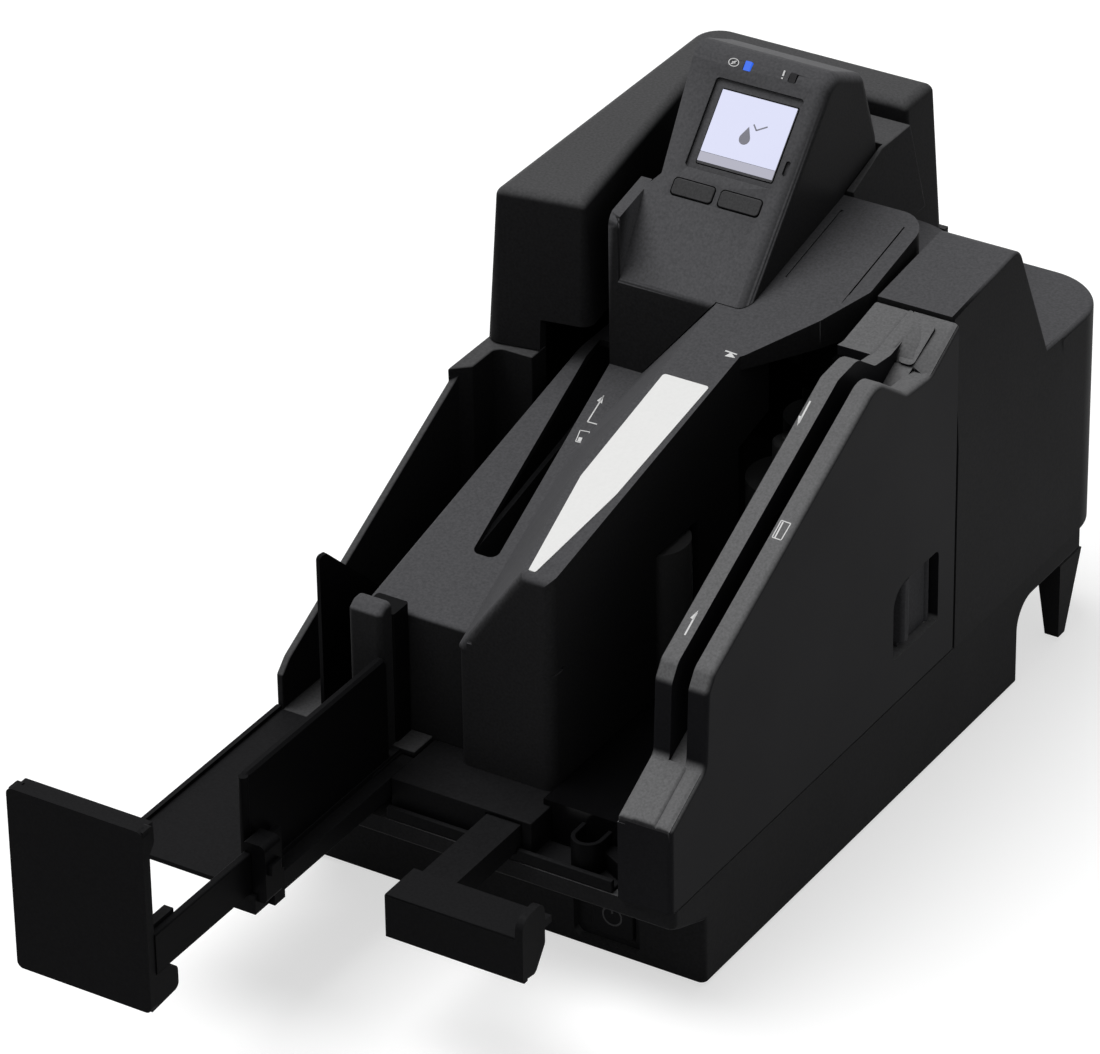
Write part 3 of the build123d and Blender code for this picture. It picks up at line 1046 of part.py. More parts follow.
outer_crest = [(125.5, 133.6, 5), (112, 134.5, 5), (95, 146.6, 8)]
inner_crest = [(122, 138.5, 5), (113, 139.5, 4), (103, 146.4, 6), (92, 145.3, 5)]
ramp_corners = [(swipe_front, swipe_bottom), (swipe_rear, swipe_bottom), (swipe_rear, 142.2),
                (122.5, ramp_z(122.5)), (swipe_front, ramp_start, 2)]
ramp_hollow = [(swipe_front + skirt, swipe_bottom - 1), (swipe_rear - skirt, swipe_bottom - 1),
               (swipe_rear - skirt, 142.2 - 2 * skirt), (122.5, ramp_z(122.5) - skirt - 0.6),
               (swipe_front + skirt, ramp_z(swipe_front + skirt) - skirt)]
recess_y = (105.6, 132.0)
recess_z = (49.4, 73.0)
recess_floor = half - 4.8
latch_axis = (half - 3.3, recess_y[1] - 2.6)
latch_pin_radius = 0.8

with BuildPart() as swipe_cover:
    side_prism(swipe_profile(outer_crest), outer_wall_x)
    fillet(swipe_cover.edges().filter_by(
        lambda edge: abs(edge.center().X - half) < 0.01 and edge.center().Z > swipe_bottom + 0.5
        and edge.center().Y < front + swipe_rear - 0.5), 1.6)
    side_prism(ramp_corners, (inner_wall_x[0] + skirt + fit, outer_wall_x[0] + 0.5))
    # front wall across the unit
    bar((feeder_right, outer_wall_x[0] + 1), (swipe_front, swipe_front + skirt), (swipe_bottom, ramp_start - 2))
    side_prism(ramp_hollow, (inner_wall_x[0] + skirt + fit + 1.5, outer_wall_x[1] - skirt), mode=Mode.SUBTRACT)
    side_prism(ramp_hollow, (inner_wall_x[0] + skirt + fit - 1, outer_wall_x[0]), mode=Mode.SUBTRACT)
    # raised pad on the landing
    pad_plane = Plane(origin=(0, front + 131, 138.6), x_dir=(1, 0, 0), z_dir=(0, -0.42, 0.91))
    with BuildSketch(pad_plane) as pad:
        with Locations((62.2, 0)):
            RectangleRounded(5.0, 15, 1.6)
    extrude(pad.sketch, amount=0.35)
    extrude(pad.sketch, amount=-1.5)
    # floors of the latch recess, then the recess itself
    bar((recess_floor - 1.4, half - 1), (recess_y[0] - 2, recess_y[1] + 2), (recess_z[0] - 2, recess_z[1] + 2))
    side_prism([(recess_y[0], recess_z[0], 2), (recess_y[1], recess_z[0], 2), (recess_y[1], recess_z[1], 2),
                (recess_y[0], recess_z[1], 7)], (recess_floor, half + 1), mode=Mode.SUBTRACT)
    post(*latch_axis, (recess_z[0] - 1.6, recess_z[1] + 1.6), latch_pin_radius + bore_clearance, mode=Mode.SUBTRACT)
    # sleeve on the unit's hinge pin
    tube(*unit_pin, (swipe_bottom, 57), 4.2, bore_radius)
    bar((unit_pin[0] - 4, unit_pin[0] + 4), (swipe_front + 1, unit_pin[1] - 3.4), (swipe_bottom, 57))
    post(*unit_pin, (swipe_bottom - 1, 58.2), bore_radius, mode=Mode.SUBTRACT)
finish(swipe_cover, "swipe_cover")

head_y = (56.0, 66.0)
head_z = (ramp_z(61) + 6, ramp_z(61) + 17)
with BuildPart() as swipe_inner_wall:
    side_prism(swipe_profile(inner_crest), inner_wall_x)
    fillet(swipe_inner_wall.edges().filter_by(
        lambda edge: abs(edge.center().X - feeder_right) < 0.01 and edge.center().Z > 62), 1.4)
    # under the ramp only the hopper's side wall remains
    side_prism([(swipe_front - 1, swipe_bottom - 1), (swipe_rear + 1, swipe_bottom - 1), (swipe_rear + 1, 142.2 + 0.1),
                (swipe_rear, 142.2 + 0.1), (122.5, ramp_z(122.5) + 0.1), (swipe_front - 1, ramp_z(swipe_front - 1) + 0.1)],
               (inner_wall_x[0] + skirt, inner_wall_x[1] + 1), mode=Mode.SUBTRACT)
    bar((feeder_right - 1, inner_wall_x[1] + 1), (swipe_front - 1, swipe_front + skirt + fit), (swipe_bottom - 1, 70),
        mode=Mode.SUBTRACT)
    bar((inner_wall_x[0] + 2.6, inner_wall_x[1] + 1), (head_y[0] - fit, head_y[1] + fit), (head_z[0] - fit, head_z[1] + fit),
        mode=Mode.SUBTRACT)
    # lugs for the hopper pusher's pin
    for z in (50.4, 85.6):
        bar((feeder_right - 3.4, feeder_right + 0.5), (98.6, 102.6), (z, z + 1.6))
    post(feeder_right - 1.8, 100.6, (49, 88), 1.05, mode=Mode.SUBTRACT)
finish(swipe_inner_wall, "swipe_inner_wall")

with BuildPart() as swipe_head:
    bar((inner_wall_x[0] + 2.6 + fit, inner_wall_x[1] - 0.2), head_y, head_z)
    with Locations((inner_wall_x[1] - 3.6, front + sum(head_y) / 2, sum(head_z) / 2)):
        Cylinder(4.0, head_z[1] - head_z[0] - 2)
    bar((inner_wall_x[0] - 2, inner_wall_x[0] + 2.6 + fit), (head_y[0] - 1, head_y[1] + 1),
        (head_z[0] - 1, head_z[1] + 1), mode=Mode.SUBTRACT)
finish(swipe_head, "swipe_head")

lever_x = (recess_floor + 0.5, recess_floor + 2.2)
lever_z = (recess_z[0] + 0.5, recess_z[1] - 0.5)
with BuildPart() as latch_lever:
    bar(lever_x, (recess_y[0] + 7, latch_axis[1]), lever_z)
    plan_prism([(lever_x[0], recess_y[0] + 6.4), (half - 0.6, recess_y[0] + 7.0, 1.4), (half - 0.6, recess_y[0] + 10.4, 1.2),
                (lever_x[0] + 1.2, recess_y[0] + 12)], (lever_z[0] + 1.6, lever_z[1] - 0.6))
    post(*latch_axis, lever_z, 1.35)
    post(*latch_axis, (recess_z[0] - 1, recess_z[1] + 1), latch_pin_radius + bore_clearance, mode=Mode.SUBTRACT)
finish(latch_lever, "latch_lever")

pusher_z = (52.3, 85.3)
pusher_pin = (feeder_right - 1.8, 100.6)
with BuildPart() as unit_pins:
    post(*latch_axis, (recess_z[0] - 1.5, recess_z[1] + 1.5), latch_pin_radius)
    post(*pusher_pin, (49.6, 87.6), 1.0)
finish(unit_pins, "unit_pins")

with BuildPart() as hopper_pusher:
    bar((pusher_pin[0] - 0.6, pusher_pin[0] + 0.6), (12, pusher_pin[1]), pusher_z)
    fillet(hopper_pusher.edges().filter_by(Axis.X).sort_by(Axis.Y)[:2], 4.0)
    post(*pusher_pin, pusher_z, 1.5)
    post(*pusher_pin, (pusher_z[0] - 1, pusher_z[1] + 1), 1.0 + bore_clearance, mode=Mode.SUBTRACT)
finish(hopper_pusher, "hopper_pusher")

print("front wall at y", round(front, 3), "chassis top", chassis_top, "pieces written:", len(os.listdir("parts")))
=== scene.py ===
"""Looks of a desktop cheque scanner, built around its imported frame.

Lengths in the classes are millimetres. `y` is measured back from the front wall of the lower case,
as in the part's own source; `Place.at` turns it into the frame's metres.
"""

from __future__ import annotations

import json
import logging
import math
from collections.abc import Callable, Iterable, Sequence
from dataclasses import dataclass, field
from enum import Enum

import bmesh
import bpy
from mathutils import Matrix, Vector


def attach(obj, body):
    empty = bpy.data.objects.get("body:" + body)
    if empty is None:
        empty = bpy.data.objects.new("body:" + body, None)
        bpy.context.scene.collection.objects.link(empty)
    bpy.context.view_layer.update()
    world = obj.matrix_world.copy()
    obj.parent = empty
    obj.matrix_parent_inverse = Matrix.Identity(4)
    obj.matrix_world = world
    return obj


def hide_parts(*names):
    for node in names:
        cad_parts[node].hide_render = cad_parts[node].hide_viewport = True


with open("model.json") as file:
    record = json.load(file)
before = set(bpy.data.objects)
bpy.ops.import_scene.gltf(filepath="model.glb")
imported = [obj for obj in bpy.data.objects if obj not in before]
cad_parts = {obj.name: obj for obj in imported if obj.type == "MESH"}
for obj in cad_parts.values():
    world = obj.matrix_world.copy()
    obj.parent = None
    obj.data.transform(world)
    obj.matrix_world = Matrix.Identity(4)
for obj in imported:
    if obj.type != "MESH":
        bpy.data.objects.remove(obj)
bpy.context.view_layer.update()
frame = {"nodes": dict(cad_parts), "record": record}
LOG = logging.getLogger("cheque_scanner")
FRONT = -56.5  # y of the lower case's front wall in the frame, in millimetres
MM = 0.001
MM_PER_M = 1000
SHARP_TURN = 34.0  # degrees between two faces from which a cover's edge counts as sharp
FLAT_TURN = 0.6  # degrees below which neighbouring facets are one face
WELD = 2e-6  # metres within which a node's corners are one corner
SHORTEST_EDGE = 0.2 * MM  # a sharp edge shorter than this is left as it is
SMOOTH_SHEET = 50.0  # degrees up to which a soft sheet is shaded smooth
SMOOTH_SHELL = 40.0  # degrees up to which a cover is shaded smooth
LEVEL = 1e-6  # millimetres of rise below which an edge of a plate is level
ARC_STEP = 15  # degrees of one straight step of a printed arc


# ------------------------------------------------------------------ colour and node helpers


def linear(hex_colour: str) -> tuple[float, float, float, float]:
    """Turn an sRGB hex colour into the linear colour that the shaders take.

    Args:
        hex_colour: Colour written as "#rrggbb".

    Returns:
        Linear red, green and blue with an alpha of one.
    """
    channels = [int(hex_colour[place : place + 2], 16) / 255 for place in (1, 3, 5)]
    red, green, blue = (
        value / 12.92 if value <= 0.04045 else ((value + 0.055) / 1.055) ** 2.4 for value in channels
    )
    return red, green, blue, 1.0


def add_node(
    tree: bpy.types.NodeTree,
    kind: str,
    settings: dict[str, object] | None = None,
    inputs: dict[str, object] | None = None,
) -> bpy.types.Node:
    """Add a node with its settings, socket values and incoming links.

    Args:
        tree: Node tree that takes the node.
        kind: Node type, such as "ShaderNodeBump".
        settings: Attributes of the node.
        inputs: Socket values by name; an output socket as a value is linked.

    Returns:
        The new node.
    """
    node = tree.nodes.new(kind)
    for name, value in (settings or {}).items():
        setattr(node, name, value)
    for name, value in (inputs or {}).items():
        socket = node.inputs[int(name)] if name.isdigit() else node.inputs[name]
        if isinstance(value, bpy.types.NodeSocket):
            tree.links.new(value, socket)
        else:
            socket.default_value = value
    return node


def new_material(name: str) -> tuple[bpy.types.Material, bpy.types.NodeTree, bpy.types.Node]:
    """Make an empty node material.

    Args:
        name: Name of the material.

    Returns:
        The material, its node tree and its output node.
    """
    material = bpy.data.materials.new(name)
    material.use_nodes = True
    tree = material.node_tree
    tree.nodes.clear()
    output = add_node(tree, "ShaderNodeOutputMaterial")
    return material, tree, output


# ------------------------------------------------------------------ finishes


@dataclass(frozen=True)
class MouldedPlastic:
    """Injection-moulded ABS with a spark-eroded texture, which breaks up the reflections into a soft grain.

    Faces that look up take a lighter grey, painted top light that stands in for the overhead lamp's light and
    sheen; upright faces stay near black.
    """

    name: str
    colour: str
    # colour of the painted top light that faces looking up take
    painted_top_light: str
    roughness: float = 0.46
    grain: float = 0.8
    relief: float = 0.03
    gloss: float = 0.012

    def make(self) -> bpy.types.Material:
        """Build the material with its grain, painted top light on its upper faces and a slow drift of tone.

        Returns:
            The material.
        """
        material, tree, output = new_material(self.name)
        place = add_node(tree, "ShaderNodeTexCoord")
        # the mould's grain is about 0.1 mm; it is drawn coarser so that it shows
        grain = add_node(tree, "ShaderNodeTexNoise", None,
                         {"Vector": place.outputs["Object"], "Scale": MM_PER_M / self.grain, "Detail": 2.0})
        drift = add_node(tree, "ShaderNodeTexNoise", None,
                         {"Vector": place.outputs["Object"], "Scale": 22.0, "Detail": 3.0})
        facing = add_node(tree, "ShaderNodeSeparateXYZ", None, {"Vector": place.outputs["Normal"]})
        # painted top light: the more a face looks up, the more it takes the lighter second colour, standing in
        # for overhead light and sheen
        painted_top_light_mask = add_node(tree, "ShaderNodeMapRange", {"interpolation_type": "SMOOTHSTEP"},
                          {"Value": facing.outputs["Z"], "From Min": 0.1, "From Max": 0.72})
        patchy = add_node(tree, "ShaderNodeMapRange", None,
                          {"Value": drift.outputs["Fac"], "From Min": 0.3, "From Max": 0.7,
                           "To Min": 0.93, "To Max": 1.0})
        dust_and_top_light = add_node(tree, "ShaderNodeMath", {"operation": "MULTIPLY"},
                        {"0": painted_top_light_mask.outputs["Result"], "1": patchy.outputs["Result"]})
        fleck = add_node(tree, "ShaderNodeMapRange", None,
                         {"Value": grain.outputs["Fac"], "From Min": 0.25, "From Max": 0.75,
                          "To Min": 0.82, "To Max": 1.18})
        # mixes the upright faces' colour towards the painted top light
        tone = add_node(tree, "ShaderNodeMix", {"data_type": "RGBA"},
                        {"0": dust_and_top_light.outputs["Value"], "6": linear(self.colour), "7": linear(self.painted_top_light)})
        colour = add_node(tree, "ShaderNodeVectorMath", {"operation": "SCALE"},
                          {"0": tone.outputs[2], "Scale": fleck.outputs["Result"]})
        shine = add_node(tree, "ShaderNodeMapRange", None,
                         {"Value": drift.outputs["Fac"], "To Min": self.roughness - 0.06,
                          "To Max": self.roughness + 0.08})
        bump = add_node(tree, "ShaderNodeBump", None,
                        {"Height": grain.outputs["Fac"], "Strength": 0.6, "Distance": self.relief * MM})
        surface = add_node(tree, "ShaderNodeBsdfPrincipled", None,
                           {"Base Color": colour.outputs["Vector"], "Roughness": shine.outputs["Result"],
                            "IOR": 1.52, "Specular IOR Level": self.gloss, "Normal": bump.outputs["Normal"]})
        tree.links.new(surface.outputs["BSDF"], output.inputs["Surface"])
        return material


@dataclass(frozen=True)
class PolishedPlastic:
    """Polished black ABS or acrylic, which mirrors softly and shows faint rubbed streaks."""

    name: str
    colour: str
    roughness: float = 0.18
    streak: float = 3.0
    gloss: float = 0.16

    def make(self) -> bpy.types.Material:
        """Build the material with faint wiping marks in its gloss.

        Returns:
            The material.
        """
        material, tree, output = new_material(self.name)
        place = add_node(tree, "ShaderNodeTexCoord")
        stretch = add_node(tree, "ShaderNodeMapping", None,
                           {"Vector": place.outputs["Object"], "Scale": (1.0, 0.15, 1.0)})
        wipe = add_node(tree, "ShaderNodeTexNoise", None,
                        {"Vector": stretch.outputs["Vector"], "Scale": MM_PER_M / self.streak, "Detail": 3.0})
        shine = add_node(tree, "ShaderNodeMapRange", None,
                         {"Value": wipe.outputs["Fac"], "To Min": self.roughness - 0.05,
                          "To Max": self.roughness + 0.12})
        bump = add_node(tree, "ShaderNodeBump", None,
                        {"Height": wipe.outputs["Fac"], "Strength": 0.15, "Distance": 0.02 * MM})
        surface = add_node(tree, "ShaderNodeBsdfPrincipled", None,
                           {"Base Color": linear(self.colour), "Roughness": shine.outputs["Result"],
                            "IOR": 1.5, "Specular IOR Level": self.gloss, "Normal": bump.outputs["Normal"]})
        tree.links.new(surface.outputs["BSDF"], output.inputs["Surface"])
        return material


@dataclass(frozen=True)
class Metal:
    """Bare machined or rolled metal with fine directional marks."""

    name: str
    colour: str
    roughness: float = 0.3
    mark: float = 0.6
    stretch: tuple[float, float, float] = (1.0, 1.0, 0.04)

    def make(self) -> bpy.types.Material:
        """Build the metal with its tool marks.

        Returns:
            The material.
        """
        material, tree, output = new_material(self.name)
        place = add_node(tree, "ShaderNodeTexCoord")
        along = add_node(tree, "ShaderNodeMapping", None,
                         {"Vector": place.outputs["Object"], "Scale": self.stretch})
        marks = add_node(tree, "ShaderNodeTexNoise", None,
                         {"Vector": along.outputs["Vector"], "Scale": MM_PER_M / self.mark, "Detail": 2.0})
        shine = add_node(tree, "ShaderNodeMapRange", None,
                         {"Value": marks.outputs["Fac"], "To Min": self.roughness - 0.08,
                          "To Max": self.roughness + 0.12})
        bump = add_node(tree, "ShaderNodeBump", None,
                        {"Height": marks.outputs["Fac"], "Strength": 0.3, "Distance": 0.02 * MM})
        surface = add_node(tree, "ShaderNodeBsdfPrincipled", None,
                           {"Base Color": linear(self.colour), "Metallic": 1.0,
                            "Roughness": shine.outputs["Result"], "Normal": bump.outputs["Normal"]})
        tree.links.new(surface.outputs["BSDF"], output.inputs["Surface"])
        return material


@dataclass(frozen=True)
class Rubber:
    """Ground nitrile rubber, matt and slightly dusty."""

    name: str
    colour: str
    dust_and_top_light: str

    def make(self) -> bpy.types.Material:
        """Build the rubber with its ground grain.

        Returns:
            The material.
        """
        material, tree, output = new_material(self.name)
        place = add_node(tree, "ShaderNodeTexCoord")
        grit = add_node(tree, "ShaderNodeTexNoise", None,
                        {"Vector": place.outputs["Object"], "Scale": MM_PER_M / 0.7, "Detail": 4.0})
        dusty = add_node(tree, "ShaderNodeMapRange", None,
                         {"Value": grit.outputs["Fac"], "From Min": 0.5, "From Max": 0.8, "To Max": 0.6})
        colour = add_node(tree, "ShaderNodeMix", {"data_type": "RGBA"},
                          {"0": dusty.outputs["Result"], "6": linear(self.colour), "7": linear(self.dust_and_top_light)})
        bump = add_node(tree, "ShaderNodeBump", None,
                        {"Height": grit.outputs["Fac"], "Strength": 0.5, "Distance": 0.05 * MM})
        surface = add_node(tree, "ShaderNodeBsdfPrincipled", None,
                           {"Base Color": colour.outputs[2], "Roughness": 0.85, "IOR": 1.52,
                            "Normal": bump.outputs["Normal"]})
        tree.links.new(surface.outputs["BSDF"], output.inputs["Surface"])
        return material


@dataclass(frozen=True)
class Laminate:
    """Green fibreglass board under solder mask, with darker traces."""

    name: str
    colour: str
    trace: str

    def make(self) -> bpy.types.Material:
        """Build the board with a pattern of traces.

        Returns:
            The material.
        """
        material, tree, output = new_material(self.name)
        place = add_node(tree, "ShaderNodeTexCoord")
        cells = add_node(tree, "ShaderNodeTexVoronoi", {"distance": "MANHATTAN"},
                         {"Vector": place.outputs["Object"], "Scale": 260.0})
        lines = add_node(tree, "ShaderNodeMapRange", None,
                         {"Value": cells.outputs["Distance"], "From Min": 0.30, "From Max": 0.36})
        colour = add_node(tree, "ShaderNodeMix", {"data_type": "RGBA"},
                          {"0": lines.outputs["Result"], "6": linear(self.colour), "7": linear(self.trace)})
        surface = add_node(tree, "ShaderNodeBsdfPrincipled", None,
                           {"Base Color": colour.outputs[2], "Roughness": 0.35, "IOR": 1.5})
        tree.links.new(surface.outputs["BSDF"], output.inputs["Surface"])
        return material


@dataclass(frozen=True)
class Film:
    """Self-adhesive polyester film or printing ink: flat colour broken by a faint fibre."""

    name: str
    colour: str
    shade: str
    roughness: float = 0.45

    def make(self) -> bpy.types.Material:
        """Build the film.

        Returns:
            The material.
        """
        material, tree, output = new_material(self.name)
        place = add_node(tree, "ShaderNodeTexCoord")
        fibre = add_node(tree, "ShaderNodeTexNoise", None,
                         {"Vector": place.outputs["Object"], "Scale": 900.0, "Detail": 3.0})
        colour = add_node(tree, "ShaderNodeMix", {"data_type": "RGBA"},
                          {"0": fibre.outputs["Fac"], "6": linear(self.colour), "7": linear(self.shade)})
        bump = add_node(tree, "ShaderNodeBump", None,
                        {"Height": fibre.outputs["Fac"], "Strength": 0.1, "Distance": 0.01 * MM})
        surface = add_node(tree, "ShaderNodeBsdfPrincipled", None,
                           {"Base Color": colour.outputs[2], "Roughness": self.roughness, "IOR": 1.5,
                            "Normal": bump.outputs["Normal"]})
        tree.links.new(surface.outputs["BSDF"], output.inputs["Surface"])
        return material


@dataclass(frozen=True)
class LitLayer:
    """Backlit liquid-crystal layer or light pipe: glows evenly behind a smooth cover."""

    name: str
    colour: str
    deep: str
    strength: float

    def make(self) -> bpy.types.Material:
        """Build the glowing layer with the slight mottle of its diffuser.

        Returns:
            The material.
        """
        material, tree, output = new_material(self.name)
        place = add_node(tree, "ShaderNodeTexCoord")
        mottle = add_node(tree, "ShaderNodeTexNoise", None,
                          {"Vector": place.outputs["Object"], "Scale": 70.0, "Detail": 1.0})
        glow = add_node(tree, "ShaderNodeMix", {"data_type": "RGBA"},
                        {"0": mottle.outputs["Fac"], "6": linear(self.colour), "7": linear(self.deep)})
        surface = add_node(tree, "ShaderNodeBsdfPrincipled", None,
                           {"Base Color": linear("#101012"), "Roughness": 0.2, "IOR": 1.5,
                            "Emission Color": glow.outputs[2], "Emission Strength": self.strength})
        tree.links.new(surface.outputs["BSDF"], output.inputs["Surface"])
        return material


class Finish(Enum):
    """The machine's finishes."""

    # in the moulded finishes the first colour shows on upright faces and the second is the painted top light on
    # faces that look up
    CASE = MouldedPlastic("charcoal textured ABS", "#212122", "#4b4b4c")
    CASE_TOP = MouldedPlastic("charcoal textured ABS, upper covers", "#252526", "#4d4d4f")
    SWIPE = MouldedPlastic("charcoal fine-textured ABS, swipe unit", "#18181a", "#666667",
                           0.42, 0.7, 0.02, 0.02)
    BLACK = MouldedPlastic("black fine-textured ABS", "#0b0b0c", "#131314", 0.42, 0.7, 0.015)
    TRAY = MouldedPlastic("black textured ABS, trays", "#141415", "#1c1c1d", 0.44, 0.8, 0.02)
    KEY = MouldedPlastic("charcoal satin keycap ABS", "#1b1b1c", "#434344", 0.38, 0.6, 0.012)
    LEVER = MouldedPlastic("grey textured ABS", "#38383a", "#464648")
    GLOSS = PolishedPlastic("black polished ABS", "#0b0b0c")
    ACETAL = PolishedPlastic("dark acetal", "#2f3032", 0.4, 1.5)
    TYRE = Rubber("ground nitrile rubber", "#151516", "#2a2a2a")
    STEEL = Metal("turned stainless steel", "#b9b9b6")
    SHEET = Metal("rolled zinc-plated steel", "#9a9d9e", 0.4, 1.2, (1.0, 0.03, 1.0))
    BOARD = Laminate("green fibreglass laminate", "#1f4a2d", "#173a24")
    LABEL = Film("white polyester film", "#e2e2e1", "#dadad9")
    INK = Film("pale grey pad-printed ink", "#d6d6d6", "#c8c8c8", 0.6)
    SCREEN = LitLayer("backlit liquid crystal, pale", "#e3e6ff", "#dfe2fb", 0.92)
    SCREEN_BAR = LitLayer("backlit liquid crystal, shaded", "#b9b9c8", "#b5b5c4", 0.9)
    SCREEN_DARK = Film("dark liquid crystal segment", "#7c7c88", "#74747f", 0.3)
    BLUE = LitLayer("blue light pipe", "#2f74ff", "#2a5fe0", 0.95)
    UNLIT = PolishedPlastic("smoked light pipe", "#1c1c1e", 0.2)

    def material(self) -> bpy.types.Material:
        """Return the finish's material, made on first use."""
        return bpy.data.materials.get(self.value.name) or self.value.make()


# ------------------------------------------------------------------ placing and carrying pieces


@dataclass(frozen=True)
class Place:
    """A flat patch of the machine's surface, with its own u and v directions in millimetres."""

    origin: tuple[float, float, float]
    slope: float = 0.0

    @staticmethod
    def at(x: float, y: float, z: float) -> Vector:
        """Turn x, y from the front wall and z into a point of the frame in metres.

        Args:
            x: Millimetres to the right of the middle.
            y: Millimetres behind the front wall.
            z: Millimetres over the rest plane.

        Returns:
            The point.
        """
        return Vector((x * MM, (y + FRONT) * MM, z * MM))

    def spot(self, x: float, y: float) -> tuple[float, float]:
        """Return the patch's u and v under a point given from above.

        Args:
            x: Millimetres to the right of the middle.
            y: Millimetres behind the front wall.

        Returns:
            Millimetres across the patch and up its slope.
        """
        return x - self.origin[0], (y - self.origin[1]) / math.cos(math.radians(self.slope))

    def matrix(self) -> Matrix:
        """Return the matrix from the patch's millimetres (u across, v up the slope, w out) to the frame."""
        turn = Matrix.Rotation(math.radians(self.slope), 4, "X")
        return Matrix.Translation(self.at(*self.origin)) @ turn @ Matrix.Scale(MM, 4)


BODY_OF = {
    node: body for body, nodes in frame["record"]["behaviour"]["bodies"].items() for node in nodes
}


def dress(finish: Finish, nodes: Iterable[str]) -> None:
    """Give CAD nodes that stay a material.

    Args:
        finish: The finish they take.
        nodes: Their names.
    """
    for name in nodes:
        node = frame["nodes"][name]
        node.data.materials.clear()
        node.data.materials.append(finish.material())


def add_piece(
    name: str, mesh: bmesh.types.BMesh, finish: Finish, body: str, smooth: float = 32.0
) -> bpy.types.Object:
    """Turn a bmesh into a piece that rides on a body.

    Args:
        name: Name of the piece.
        mesh: Its shape in the frame's metres; it is freed here.
        finish: Its finish.
        body: The CAD body that carries it.
        smooth: Edges sharper than this many degrees stay sharp.

    Returns:
        The new object.
    """
    data = bpy.data.meshes.new(name)
    mesh.to_mesh(data)
    mesh.free()
    data.shade_smooth()
    data.set_sharp_from_angle(angle=math.radians(smooth))
    data.materials.append(finish.material())
    piece = bpy.data.objects.new(name, data)
    bpy.context.scene.collection.objects.link(piece)
    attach(piece, body)
    LOG.info("%s: %d faces on %s", name, len(data.polygons), body)
    return piece


@dataclass(frozen=True)
class Rounding:
    """Larger rounding for the sharp edges whose middles lie inside a box.

    The box's corners are x, y from the front wall and z.
    """

    low: tuple[float, float, float]
    high: tuple[float, float, float]
    radius: float
    segments: int = 4

    def apply(self, shape: bmesh.types.BMesh) -> None:
        """Round the edges inside the box.

        Args:
            shape: The cover's mesh in the frame's metres; it is changed here.
        """
        low, high = Place.at(*self.low), Place.at(*self.high)
        chosen = []
        for edge in shape.edges:
            middle = (edge.verts[0].co + edge.verts[1].co) / 2
            inside = all(least <= value <= most for least, value, most in zip(low, middle, high))
            if inside and len(edge.link_faces) == 2 and edge.calc_face_angle(0.0) > math.radians(SHARP_TURN):
                chosen.append(edge)
        bmesh.ops.bevel(
            shape, geom=chosen, offset=self.radius * MM, offset_type="OFFSET", segments=self.segments,
            profile=0.5, affect="EDGES", clamp_overlap=False, material=-1, miter_outer="SHARP",
            miter_inner="SHARP",
        )
        LOG.info("rounded %d edges to %.1f mm", len(chosen), self.radius)


@dataclass(frozen=True)
class Shell:
    """A moulded cover taken from its CAD node, with its sharp edges broken as a mould leaves them."""

    node: str
    finish: Finish
    edge: float = 0.55
    roundings: tuple[Rounding, ...] = ()

    def build(self) -> bpy.types.Object:
        """Copy the node, merge its facets into clean faces and round its sharp edges.

        Returns:
            The cover, which replaces its node.
        """
        shape = bmesh.new()
        shape.from_mesh(frame["nodes"][self.node].data)
        bmesh.ops.remove_doubles(shape, verts=shape.verts, dist=WELD)
        bmesh.ops.dissolve_limit(
            shape, angle_limit=math.radians(FLAT_TURN), verts=shape.verts, edges=shape.edges, delimit=set()
        )
        for rounding in self.roundings:
            rounding.apply(shape)
        sharp = [
            edge for edge in shape.edges
            if len(edge.link_faces) == 2 and edge.calc_face_angle(0.0) > math.radians(SHARP_TURN)
            and edge.calc_length() > SHORTEST_EDGE
        ]
        bmesh.ops.bevel(
            shape, geom=sharp, offset=self.edge * MM, offset_type="OFFSET", segments=2, profile=0.5,
            affect="EDGES", clamp_overlap=True, material=-1, miter_outer="SHARP", miter_inner="SHARP",
        )
        piece = add_piece(f"{self.node}_shell", shape, self.finish, BODY_OF[self.node],
                          SMOOTH_SHELL)
        even = piece.modifiers.new("even_shading", "WEIGHTED_NORMAL")
        even.keep_sharp = True
        even.weight = 50
        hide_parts(self.node)
        return piece


